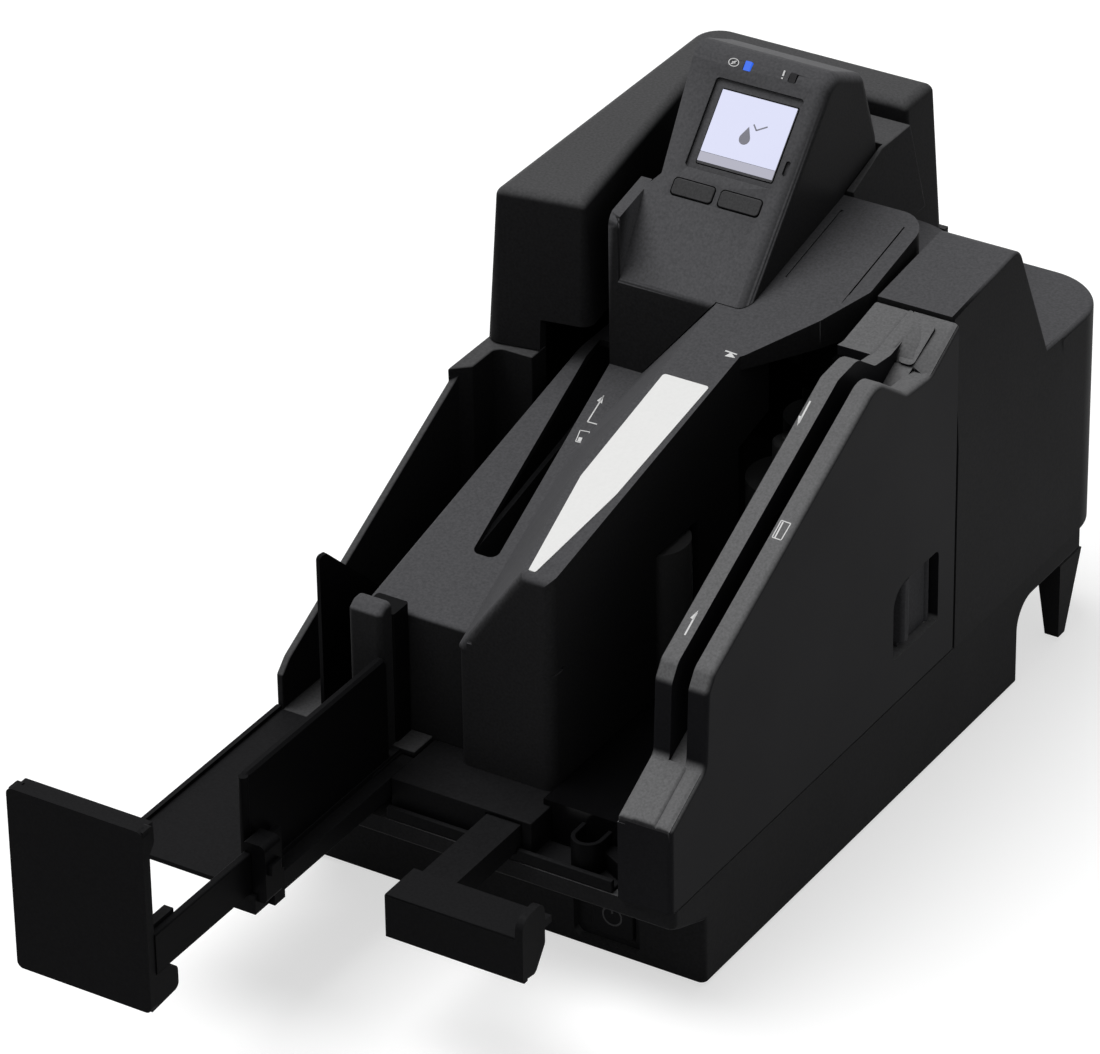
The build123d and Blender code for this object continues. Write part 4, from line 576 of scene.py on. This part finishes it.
@dataclass
class Mark:
    """Printed or moulded figure made of strokes and discs on a patch of surface."""

    name: str
    place: Place
    body: str
    slot: str
    finish: Finish = Finish.INK
    height: float = 0.05
    shape: bmesh.types.BMesh = field(default_factory=bmesh.new)

    def fill(self, outline: Sequence[tuple[float, float]]) -> None:
        """Add a raised flat figure.

        Args:
            outline: Its corners in the patch's u and v, anticlockwise.
        """
        corners = [self.shape.verts.new((u, v, 0.0)) for u, v in outline]
        face = self.shape.faces.new(corners)
        raised = bmesh.ops.extrude_face_region(self.shape, geom=[face])
        top = [part for part in raised["geom"] if isinstance(part, bmesh.types.BMVert)]
        bmesh.ops.translate(self.shape, verts=top, vec=(0.0, 0.0, self.height))

    def line(self, start: tuple[float, float], end: tuple[float, float], width: float) -> None:
        """Add a straight stroke.

        Args:
            start: One end in u and v.
            end: The other end.
            width: Width of the stroke.
        """
        run = Vector(end) - Vector(start)
        side = Vector((-run.y, run.x)).normalized() * width / 2
        ends = (Vector(start) - side, Vector(end) - side, Vector(end) + side, Vector(start) + side)
        self.fill([(point.x, point.y) for point in ends])

    def path(self, points: Sequence[tuple[float, float]], width: float, closed: bool = False) -> None:
        """Add straight strokes through points given from above.

        Args:
            points: The corners in x and y from the front wall.
            width: Width of the strokes.
            closed: Whether the last point joins the first.
        """
        spots = [self.place.spot(*point) for point in points]
        for start, end in zip(spots, spots[1:] + spots[:1] if closed else spots[1:]):
            self.line(start, end, width)

    def patch(self, points: Sequence[tuple[float, float]]) -> None:
        """Add a filled figure through points given from above.

        Args:
            points: Its corners in x and y from the front wall.
        """
        self.fill([self.place.spot(*point) for point in points])

    def arc(
        self, centre: tuple[float, float], radius: float, width: float, start: float, end: float,
        squash: float = 1.0,
    ) -> None:
        """Add a round stroke.

        Args:
            centre: Its middle in u and v.
            radius: Radius of the stroke's middle line.
            width: Width of the stroke.
            start: First angle in degrees.
            end: Last angle.
            squash: Share of its height that the figure keeps along v.
        """
        steps = max(6, int(abs(end - start) / ARC_STEP))
        angles = [math.radians(start + (end - start) * step / steps) for step in range(steps + 1)]
        outer, inner = (
            [(centre[0] + reach * math.cos(angle), centre[1] + squash * reach * math.sin(angle))
             for angle in angles]
            for reach in (radius + width / 2, radius - width / 2)
        )
        for first in range(steps):
            self.fill([outer[first], outer[first + 1], inner[first + 1], inner[first]])

    def build(self) -> bpy.types.Object:
        """Place the figure and turn it into a piece.

        Returns:
            The piece.
        """
        bmesh.ops.transform(self.shape, matrix=self.place.matrix(), verts=self.shape.verts)
        bmesh.ops.recalc_face_normals(self.shape, faces=self.shape.faces)
        return add_piece(self.name, self.shape, self.finish, self.body)


def rounded_plate(
    place: Place, centre: tuple[float, float], size: tuple[float, float], radius: float, low: float, high: float
) -> bmesh.types.BMesh:
    """Shape a plate with rounded corners that lies on a patch.

    Args:
        place: The patch.
        centre: Middle of the plate in u and v.
        size: Width and length.
        radius: Corner radius.
        low: Height of its underside over the patch.
        high: Height of its top over the patch.

    Returns:
        The plate's mesh in the frame's metres.
    """
    shape = bmesh.new()
    bmesh.ops.create_cube(shape, size=1.0)
    bmesh.ops.scale(shape, vec=(size[0], size[1], high - low), verts=shape.verts)
    bmesh.ops.translate(shape, vec=(centre[0], centre[1], (high + low) / 2), verts=shape.verts)
    upright = [edge for edge in shape.edges if abs((edge.verts[0].co - edge.verts[1].co).z) > LEVEL]
    bmesh.ops.bevel(shape, geom=upright, offset=radius, segments=6, profile=0.5, affect="EDGES", material=-1)
    bmesh.ops.transform(shape, matrix=place.matrix(), verts=shape.verts)
    return shape


def ease(value: float) -> float:
    """Ease from nought to one.

    Args:
        value: Share of the way, held between nought and one.

    Returns:
        The eased share.
    """
    share = min(1.0, max(0.0, value))
    return share * share * (3.0 - 2.0 * share)


@dataclass
class SoftSheet:
    """Smooth skin of a moulding, which fades into the surface round it at its soft edges.

    `soft` is the width of the fading at the left, right, front and rear edge; nought is a plain edge.
    """

    name: str
    finish: Finish
    slot: str
    x: tuple[float, float]
    y: tuple[float, float]
    height: Callable[[float, float], float]
    soft: tuple[float, float, float, float] = (1.2, 1.2, 1.2, 1.2)
    rise: float = 0.3
    sink: float = 0.15
    thickness: float = 1.0
    pitch: float = 0.45

    def lift(self, x: float, y: float) -> float:
        """Return how far the sheet stands over the surface.

        Args:
            x: Millimetres to the right of the middle.
            y: Millimetres behind the front wall.

        Returns:
            The lift in millimetres, below nought at a soft edge.
        """
        gaps = (x - self.x[0], self.x[1] - x, y - self.y[0], self.y[1] - y)
        full = min(ease(gap / soft) if soft else 1.0 for gap, soft in zip(gaps, self.soft))
        return full * (self.rise + self.sink) - self.sink

    def build(self) -> bpy.types.Object:
        """Shape the sheet from a fine grid and thicken it downwards.

        Returns:
            The sheet, which rides on the body of its slot's node.
        """
        (left, right), (front, rear) = self.x, self.y
        shape = bmesh.new()
        bmesh.ops.create_grid(shape, x_segments=round((right - left) / self.pitch),
                              y_segments=round((rear - front) / self.pitch), size=0.5)
        for vert in shape.verts:
            x = left + (vert.co.x + 0.5) * (right - left)
            y = front + (vert.co.y + 0.5) * (rear - front)
            vert.co = Place.at(x, y, self.height(x, y) + self.lift(x, y))
        under = bmesh.ops.extrude_face_region(shape, geom=list(shape.faces))
        lowered = [part for part in under["geom"] if isinstance(part, bmesh.types.BMVert)]
        bmesh.ops.translate(shape, verts=lowered, vec=(0.0, 0.0, -self.thickness * MM))
        bmesh.ops.recalc_face_normals(shape, faces=shape.faces)
        return add_piece(self.name, shape, self.finish, BODY_OF[self.slot],
                         SMOOTH_SHEET)


# ------------------------------------------------------------------ the machine's sub-assemblies


@dataclass
class LowerCase:
    """Lower case, feet, power button and the front shelf."""

    button_centre: tuple[float, float] = (39.5, 12.8)
    ring_radius: float = 3.0
    stroke: float = 0.55

    def build(self) -> None:
        """Dress the lower case and mark its button."""
        Shell("base_pan", Finish.CASE).build()
        Shell("front_shelf", Finish.TRAY, 0.4).build()
        Shell("power_button", Finish.KEY, 0.3).build()
        dress(Finish.TYRE, ["rubber_feet"])
        dress(Finish.STEEL, ["case_screws"])
        dress(Finish.SHEET, ["chassis_plate"])
        dress(Finish.BOARD, ["main_board"])
        dress(Finish.GLOSS, ["supply_jack", "data_sockets"])
        x, z = self.button_centre
        mark = Mark("power_symbol", Place((x, 1.4, z), 90.0), "power_button", "power_button", Finish.UNLIT)
        mark.arc((0, 0), self.ring_radius, self.stroke, 125, 415)
        mark.line((0, 0.8), (0, self.ring_radius + 1.0), self.stroke)
        mark.build()


@dataclass
class Hopper:
    """Hopper with its extension, pusher and walls."""

    def build(self) -> None:
        """Dress the hopper's pieces."""
        Shell("feeder_tray", Finish.TRAY, 0.45).build()
        Shell("hopper_post", Finish.BLACK, 0.35).build()
        dress(Finish.GLOSS, ["track_bed", "separator_block", "hopper_pusher"])


@dataclass
class Ridge:
    """Ridge over the hopper, its cartridge lid and the blank label."""

    lid_x: tuple[float, float] = (14.9, 35.2)
    lid_y: tuple[float, float] = (134.0, 171.5)
    top: Place = Place((0.0, 140.0, 142.8), math.degrees(math.atan(0.21)))

    def build(self) -> None:
        """Build the ridge's shell, lid, label and mark."""
        Shell("ridge_cover", Finish.CASE_TOP, 0.5).build()
        Shell("ink_lid", Finish.CASE_TOP, 0.3).build()
        dress(Finish.LABEL, ["instruction_label"])
        dress(Finish.BLACK, ["print_cartridge"])
        mark = Mark("ridge_icon", self.top, "case", "ridge_cover")
        mark.path([(14.9, 105.3), (18.8, 105.1)], 0.5)
        mark.patch([(15.9, 103.2), (19.1, 103.6), (16.8, 105.3)])
        mark.build()
        self.lay_lid_skin()

    def lay_lid_skin(self) -> None:
        """Lay the lid's smooth top, which runs forward over the ridge without a seam."""
        rise = math.tan(math.radians(self.top.slope))
        SoftSheet("lid_skin", Finish.CASE_TOP, "ink_lid", self.lid_x, self.lid_y,
                  lambda x, y: self.top.origin[2] + rise * (y - self.top.origin[1]),
                  soft=(0.7, 0.0, 3.0, 0.0), rise=0.25, thickness=0.4, pitch=0.7).build()


@dataclass
class CardDeck:
    """Deck with the card slot and its two printed figures."""

    top: Place = Place((0.0, 0.0, 82.8), math.degrees(math.atan(0.223)))

    def build(self) -> None:
        """Build the deck's shell and marks."""
        Shell("island_deck", Finish.CASE_TOP).build()
        mark = Mark("deck_icon", self.top, "case", "island_deck")
        mark.path([(-26.0, 93.2), (-23.05, 93.6), (-21.7, 88.9), (-24.75, 88.6)], 0.3, closed=True)
        mark.patch([(-24.4, 88.9), (-23.3, 89.0), (-23.7, 90.7), (-24.8, 90.6)])
        mark.path([(-22.7, 97.2), (-25.95, 97.1), (-27.4, 108.5)], 0.4)
        mark.patch([(-27.4, 108.5), (-28.1, 105.9), (-26.1, 105.3)])
        mark.build()


@dataclass
class DisplayHead:
    """Display head: sloped face, screen, keys and lights."""

    face: Place = Place((0.0, 121.0, 138.0), math.degrees(math.atan2(189.5 - 138.0, 47.0)))
    screen_centre: tuple[float, float] = (-7.6, 51.1)
    screen_size: tuple[float, float] = (24.7, 21.9)
    lenses: tuple[tuple[float, float], ...] = ((-14.7, 70.2), (0.2, 70.2))
    lens_size: tuple[float, float] = (2.1, 2.9)
    lens_reach: tuple[float, float] = (-2.3, 0.08)
    recess: float = -0.8  # the display cover lies this far under the face
    layer: float = 0.06
    bar_tall: float = 2.8
    foot_tall: float = 2.9  # the lower bar with the gap over it
    stroke: float = 0.45
    icon_stroke: float = 0.35

    def build(self) -> None:
        """Build the head's shell, its display and its marks."""
        Shell("head_housing", Finish.CASE_TOP, 0.5, roundings=(
            Rounding((-45.0, 120.5, 158.0), (-18.0, 121.5, 159.0), 4.0, 5),
        )).build()
        Shell("left_key", Finish.KEY, 0.2).build()
        Shell("right_key", Finish.KEY, 0.2).build()
        dress(Finish.CASE_TOP, ["screen_panel"])
        self.light_screen()
        self.light_lenses()
        self.print_icons()

    def light_screen(self) -> None:
        """Lay the lit area, its lower bar and its two figures on the display cover."""
        u, v = self.screen_centre
        wide, tall = self.screen_size
        level, top = self.recess, self.recess + self.layer
        lit = rounded_plate(self.face, (u, v + self.foot_tall / 2), (wide, tall - self.foot_tall),
                            0.15, level, top)
        add_piece("screen_lit", lit, Finish.SCREEN, "case")
        bar = rounded_plate(self.face, (u, v - tall / 2 + self.bar_tall / 2), (wide, self.bar_tall),
                            0.12, level, top)
        add_piece("screen_bar", bar, Finish.SCREEN_BAR, "case")
        figure = Mark("screen_figure", self.face, "case", "screen_panel", Finish.SCREEN_DARK, 0.04)
        # a drop with its tip up, as a tangent pair on a round base
        drop = [(u - 0.35 + 1.75 * math.cos(turn), v - 1.5 + 1.75 * math.sin(turn))
                for turn in (math.radians(step) for step in range(150, 391, 20))]
        drop.append((u - 0.25, v + 2.3))
        figure.fill(drop)
        figure.line((u + 0.9, v + 3.3), (u + 2.35, v + 1.7), self.stroke)
        figure.line((u + 2.25, v + 1.75), (u + 5.3, v + 3.6), self.stroke)
        bmesh.ops.translate(figure.shape, verts=figure.shape.verts, vec=(0, 0, level + 0.05))
        figure.build()

    def light_lenses(self) -> None:
        """Stand a glowing and a dark light pipe for the two lenses."""
        names, finishes = ("status_light", "error_light"), (Finish.BLUE, Finish.UNLIT)
        for name, finish, (u, v) in zip(names, finishes, self.lenses):
            pipe = rounded_plate(self.face, (u, v), self.lens_size, 0.25, *self.lens_reach)
            piece = add_piece(name, pipe, finish, "case")
            if finish is Finish.BLUE:
                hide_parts("status_lenses")

    def print_icons(self) -> None:
        """Print the small figures beside the lights."""
        mark = Mark("head_icons", self.face, "case", "head_housing")
        (left, level), (right, _) = self.lenses
        u, v = left - 4.6, level
        mark.arc((u, v), 1.6, 0.3, 0, 360, 0.72)
        mark.line((u + 0.75, v + 0.6), (u - 0.2, v + 0.05), self.icon_stroke)
        mark.line((u - 0.55, v + 0.12), (u + 0.55, v - 0.12), self.icon_stroke)
        mark.line((u + 0.2, v - 0.05), (u - 0.75, v - 0.6), self.icon_stroke)
        u = right - 3.2
        mark.line((u, v - 0.2), (u, v + 1.5), 0.55)
        mark.line((u, v - 1.1), (u, v - 0.65), 0.5)
        mark.build()


@dataclass
class RearCovers:
    """Covers round the back of the machine."""

    def build(self) -> None:
        """Build the rear shells."""
        Shell("centre_cover", Finish.CASE).build()
        Shell("rear_hood", Finish.CASE, 0.6).build()
        Shell("rear_right_cover", Finish.CASE_TOP, 0.6).build()
        Shell("rear_case", Finish.CASE, 0.5).build()


@dataclass
class OutputSide:
    """Pocket, tray, stacker and the pieces that steady the stack."""

    def build(self) -> None:
        """Build the output side."""
        Shell("pocket_case", Finish.CASE).build()
        Shell("output_tray", Finish.TRAY, 0.35).build()
        Shell("guide_plate", Finish.BLACK, 0.3).build()
        Shell("rail_clip", Finish.BLACK, 0.25).build()
        Shell("stacker_plate", Finish.TRAY, 0.5).build()
        Shell("stacker_rail", Finish.BLACK, 0.2).build()
        Shell("stack_flap", Finish.BLACK, 0.25).build()
        Shell("pocket_post", Finish.BLACK, 0.3).build()
        Shell("post_cap", Finish.CASE_TOP, 0.3).build()


@dataclass
class SwipeReader:
    """Swipe unit with its ramp, read head, latch and printed arrows."""

    inner_crest: Place = Place((0.0, 5.5, 100.3), math.degrees(math.atan(45.0 / 86.5)))
    outer_crest: Place = Place((0.0, 5.5, 100.3), math.degrees(math.atan(46.3 / 89.5)))
    strip_x: tuple[float, float] = (57.6, 64.6)
    # a plane given as its height at a y from the front wall and its rise with y
    inner_rear: tuple[float, float, float] = (138.5, 122.0, 0.191)
    outer_rear: tuple[float, float, float] = (133.6, 125.5, 0.541)
    slot_floor: tuple[float, float, float] = (134.1, 122.5, 0.434)
    ramp_plane: tuple[float, float, float] = (61.7, -17.4, 0.56)
    inner_fall: float = 0.11
    floor_bend: tuple[float, float] = (124.6, 0.7)
    landing_slope_x: tuple[float, float] = (58.2, 68.5)
    icon_stroke: float = 0.3
    mark_stroke: float = 0.5
    stripe_stroke: float = 0.45

    def build(self) -> None:
        """Build the swipe unit's shells and marks."""
        Shell("swipe_cover", Finish.SWIPE, 0.7).build()
        Shell("swipe_inner_wall", Finish.SWIPE, 0.7).build()
        Shell("latch_lever", Finish.LEVER, 0.3).build()
        dress(Finish.GLOSS, ["swipe_head"])
        dress(Finish.STEEL, ["unit_pins"])
        mark = Mark("swipe_arrows", self.inner_crest, "swipe_unit", "swipe_inner_wall")
        mark.path([(54.5, 84.2), (54.7, 77.4)], self.mark_stroke)
        mark.patch([(54.75, 76.6), (54.75, 79.4), (53.6, 79.4)])
        mark.path([(56.4, 12.9), (56.3, 19.6)], self.mark_stroke)
        mark.patch([(56.35, 20.4), (55.25, 17.8), (56.4, 17.5)])
        mark.build()
        card = Mark("swipe_card_icon", self.outer_crest, "swipe_unit", "swipe_cover")
        card.path([(64.9, 50.4), (67.9, 50.3), (67.8, 45.2), (64.95, 45.25)], self.icon_stroke, closed=True)
        card.path([(65.6, 50.1), (65.75, 45.4)], self.stripe_stroke)
        card.build()

        SoftSheet("swipe_landing", Finish.SWIPE, "swipe_cover", (53.5, 69.6), (124.6, 141.2),
                  self.landing_height, pitch=0.35).build()
        SoftSheet("swipe_shoulder", Finish.SWIPE, "swipe_cover", (43.6, 54.6), (118.6, 141.2),
                  self.inner_height, soft=(0.0, 1.0, 0.0, 1.2), thickness=3.0).build()
        SoftSheet("swipe_ramp", Finish.SWIPE, "swipe_cover", (53.4, 69.4), (-17.3, 0.2), self.ramp_height,
                  soft=(0.6, 1.2, 0.5, 1.2), rise=0.35, thickness=3.4, pitch=0.25).build()

    @staticmethod
    def plane_height(plane: tuple[float, float, float], y: float) -> float:
        """Return the height of a plane that rises towards the rear.

        Args:
            plane: Its height at a y, that y, and its rise with y.
            y: Millimetres behind the front wall.

        Returns:
            Millimetres over the rest plane.
        """
        height, start, rise = plane
        return height + rise * (y - start)

    def inner_height(self, x: float, y: float) -> float:
        """Return the height of the inner wall's rear end.

        Args:
            x: Millimetres to the right of the middle; the wall is level across.
            y: Millimetres behind the front wall.

        Returns:
            Millimetres over the rest plane.
        """
        height, start, _ = self.inner_rear
        return self.plane_height(self.inner_rear, y) if y > start else height + self.inner_fall * (start - y)

    def landing_height(self, x: float, y: float) -> float:
        """Return the height of the landing at the slot's rear end.

        Args:
            x: Millimetres to the right of the middle.
            y: Millimetres behind the front wall.

        Returns:
            Millimetres over the rest plane.
        """
        inner, outer = self.inner_height(x, y), self.plane_height(self.outer_rear, y)
        left, right = self.landing_slope_x
        plain = inner + (outer - inner) * min(1.0, max(0.0, (x - left) / (right - left)))
        bend, steeper = self.floor_bend
        floor = self.plane_height(self.slot_floor, y) + steeper * max(0.0, y - bend)
        in_slot = ease((x - 58.3) / 0.8) * ease((66.0 - x) / 2.5)
        strip = (ease((x - 55.4) / 0.5) * ease((63.2 - x) / 0.5)
                 * ease((y - 128.5) / 1.0) * ease((137.5 - y) / 0.6))
        return plain + (min(plain, floor) - plain) * in_slot + 0.2 * strip

    def ramp_height(self, x: float, y: float) -> float:
        """Return the height of the ramp in front of the slot.

        Args:
            x: Millimetres to the right of the middle.
            y: Millimetres behind the front wall.

        Returns:
            Millimetres over the rest plane.
        """
        left, right = self.strip_x
        strip = ease((x - left) / 0.5) * ease((right - x) / 0.5)
        groove = ease((x - right) / 0.3) * ease((right + 0.8 - x) / 0.3)
        return self.plane_height(self.ramp_plane, y) + 0.35 * strip - 0.4 * groove


@dataclass
class Mechanism:
    """Track walls, rollers, belt and read heads inside the machine."""

    def build(self) -> None:
        """Dress the inner pieces."""
        dress(Finish.GLOSS, ["inner_guide", "outer_guide", "scan_bars"])
        dress(Finish.STEEL, ["roller_shafts", "hinge_pins", "ink_reader_head", "feed_motor"])
        dress(Finish.TYRE, ["pick_roller", "feed_roller", "right_drive_roller", "rear_drive_roller",
                            "exit_drive_roller", "drive_belt"])
        dress(Finish.ACETAL, ["motor_pulley", "retard_roller", "right_pinch_roller", "rear_pinch_roller",
                              "exit_pinch_roller"])


@dataclass
class Studio:
    """Pale floor, one soft lamp and the camera; positions in metres, angles in degrees."""

    eye: tuple[float, float, float] = (0.8253, -1.3324, 1.0448)
    aim: tuple[float, float, float] = (-0.0116, -0.0032, 0.0965)
    lens: float = 213.9
    roll: float = -0.9
    sky_power: float = 2.5
    sky_spread: float = 44.0
    sky_lean: tuple[float, float, float] = (4.0, -20.0, 0.0)
    fill: float = 0.3
    floor_lift: float = 0.62

    def build(self) -> None:
        """Set the floor, the world, the lamp and the camera."""
        self.lay_floor()
        self.light_world()
        self.hang_sky()
        self.set_camera()
        bpy.context.scene.view_settings.view_transform = "Standard"

    def lay_floor(self) -> None:
        """Lay a pale floor that the camera sees as white and that keeps the shadow."""
        material, tree, output = new_material("pale studio floor")
        seen = self.seen_directly(tree)
        matt = add_node(tree, "ShaderNodeBsdfDiffuse", None, {"Color": linear("#bcbcbc")})
        lift = add_node(tree, "ShaderNodeEmission", None,
                        {"Color": linear("#ffffff"), "Strength": self.floor_lift})
        both = add_node(tree, "ShaderNodeAddShader", None,
                        {"0": matt.outputs["BSDF"], "1": lift.outputs["Emission"]})
        mix = add_node(tree, "ShaderNodeMixShader", None,
                       {"0": seen, "1": matt.outputs["BSDF"], "2": both.outputs["Shader"]})
        tree.links.new(mix.outputs["Shader"], output.inputs["Surface"])
        shape = bmesh.new()
        bmesh.ops.create_grid(shape, x_segments=1, y_segments=1, size=12.0)
        data = bpy.data.meshes.new("floor")
        shape.to_mesh(data)
        shape.free()
        data.materials.append(material)
        floor = bpy.data.objects.new("floor", data)
        bpy.context.scene.collection.objects.link(floor)

    @staticmethod
    def seen_directly(tree: bpy.types.NodeTree) -> bpy.types.NodeSocket:
        """Tell the rays that see a surface directly from those that carry light.

        Args:
            tree: Node tree that takes the nodes.

        Returns:
            A socket that is one for camera, glossy and transmission rays.
        """
        rays = add_node(tree, "ShaderNodeLightPath")
        shiny = add_node(tree, "ShaderNodeMath", {"operation": "MAXIMUM"},
                         {"0": rays.outputs["Is Glossy Ray"], "1": rays.outputs["Is Transmission Ray"]})
        seen = add_node(tree, "ShaderNodeMath", {"operation": "MAXIMUM"},
                        {"0": rays.outputs["Is Camera Ray"], "1": shiny.outputs["Value"]})
        return seen.outputs["Value"]

    def light_world(self) -> None:
        """Fill the shadows softly and show white behind the machine."""
        world = bpy.data.worlds.new("studio")
        bpy.context.scene.world = world
        world.use_nodes = True
        tree = world.node_tree
        tree.nodes.clear()
        output = add_node(tree, "ShaderNodeOutputWorld")
        white = linear("#ffffff")
        fill = add_node(tree, "ShaderNodeBackground", None, {"Color": white, "Strength": self.fill})
        backdrop = add_node(tree, "ShaderNodeBackground", None, {"Color": white, "Strength": 1.0})
        mix = add_node(tree, "ShaderNodeMixShader", None,
                       {"0": self.seen_directly(tree), "1": fill.outputs["Background"],
                        "2": backdrop.outputs["Background"]})
        tree.links.new(mix.outputs["Shader"], output.inputs["Surface"])

    def hang_sky(self) -> None:
        """Hang a wide soft light overhead, leaning to the left."""
        lamp = bpy.data.lights.new("overhead", "SUN")
        lamp.energy = self.sky_power
        lamp.angle = math.radians(self.sky_spread)
        holder = bpy.data.objects.new("overhead", lamp)
        holder.rotation_euler = [math.radians(turn) for turn in self.sky_lean]
        bpy.context.scene.collection.objects.link(holder)

    def set_camera(self) -> None:
        """Place the camera."""
        data = bpy.data.cameras.new("camera")
        data.lens = self.lens
        data.sensor_width = 36.0
        data.clip_end = 50.0
        holder = bpy.data.objects.new("camera", data)
        turn = (Vector(self.aim) - Vector(self.eye)).to_track_quat("-Z", "Y").to_matrix().to_4x4()
        roll = Matrix.Rotation(math.radians(self.roll), 4, "Z")
        holder.matrix_world = Matrix.Translation(self.eye) @ turn @ roll
        bpy.context.scene.collection.objects.link(holder)
        bpy.context.scene.camera = holder


def main() -> None:
    """Build the machine and its studio."""
    logging.basicConfig(level=logging.INFO, format="%(name)s %(message)s")
    for part in (LowerCase(), Hopper(), Ridge(), CardDeck(), DisplayHead(), RearCovers(), OutputSide(),
                 SwipeReader(), Mechanism(), Studio()):
        part.build()
        LOG.info("built %s", type(part).__name__)


if __name__ == "__main__":
    main()
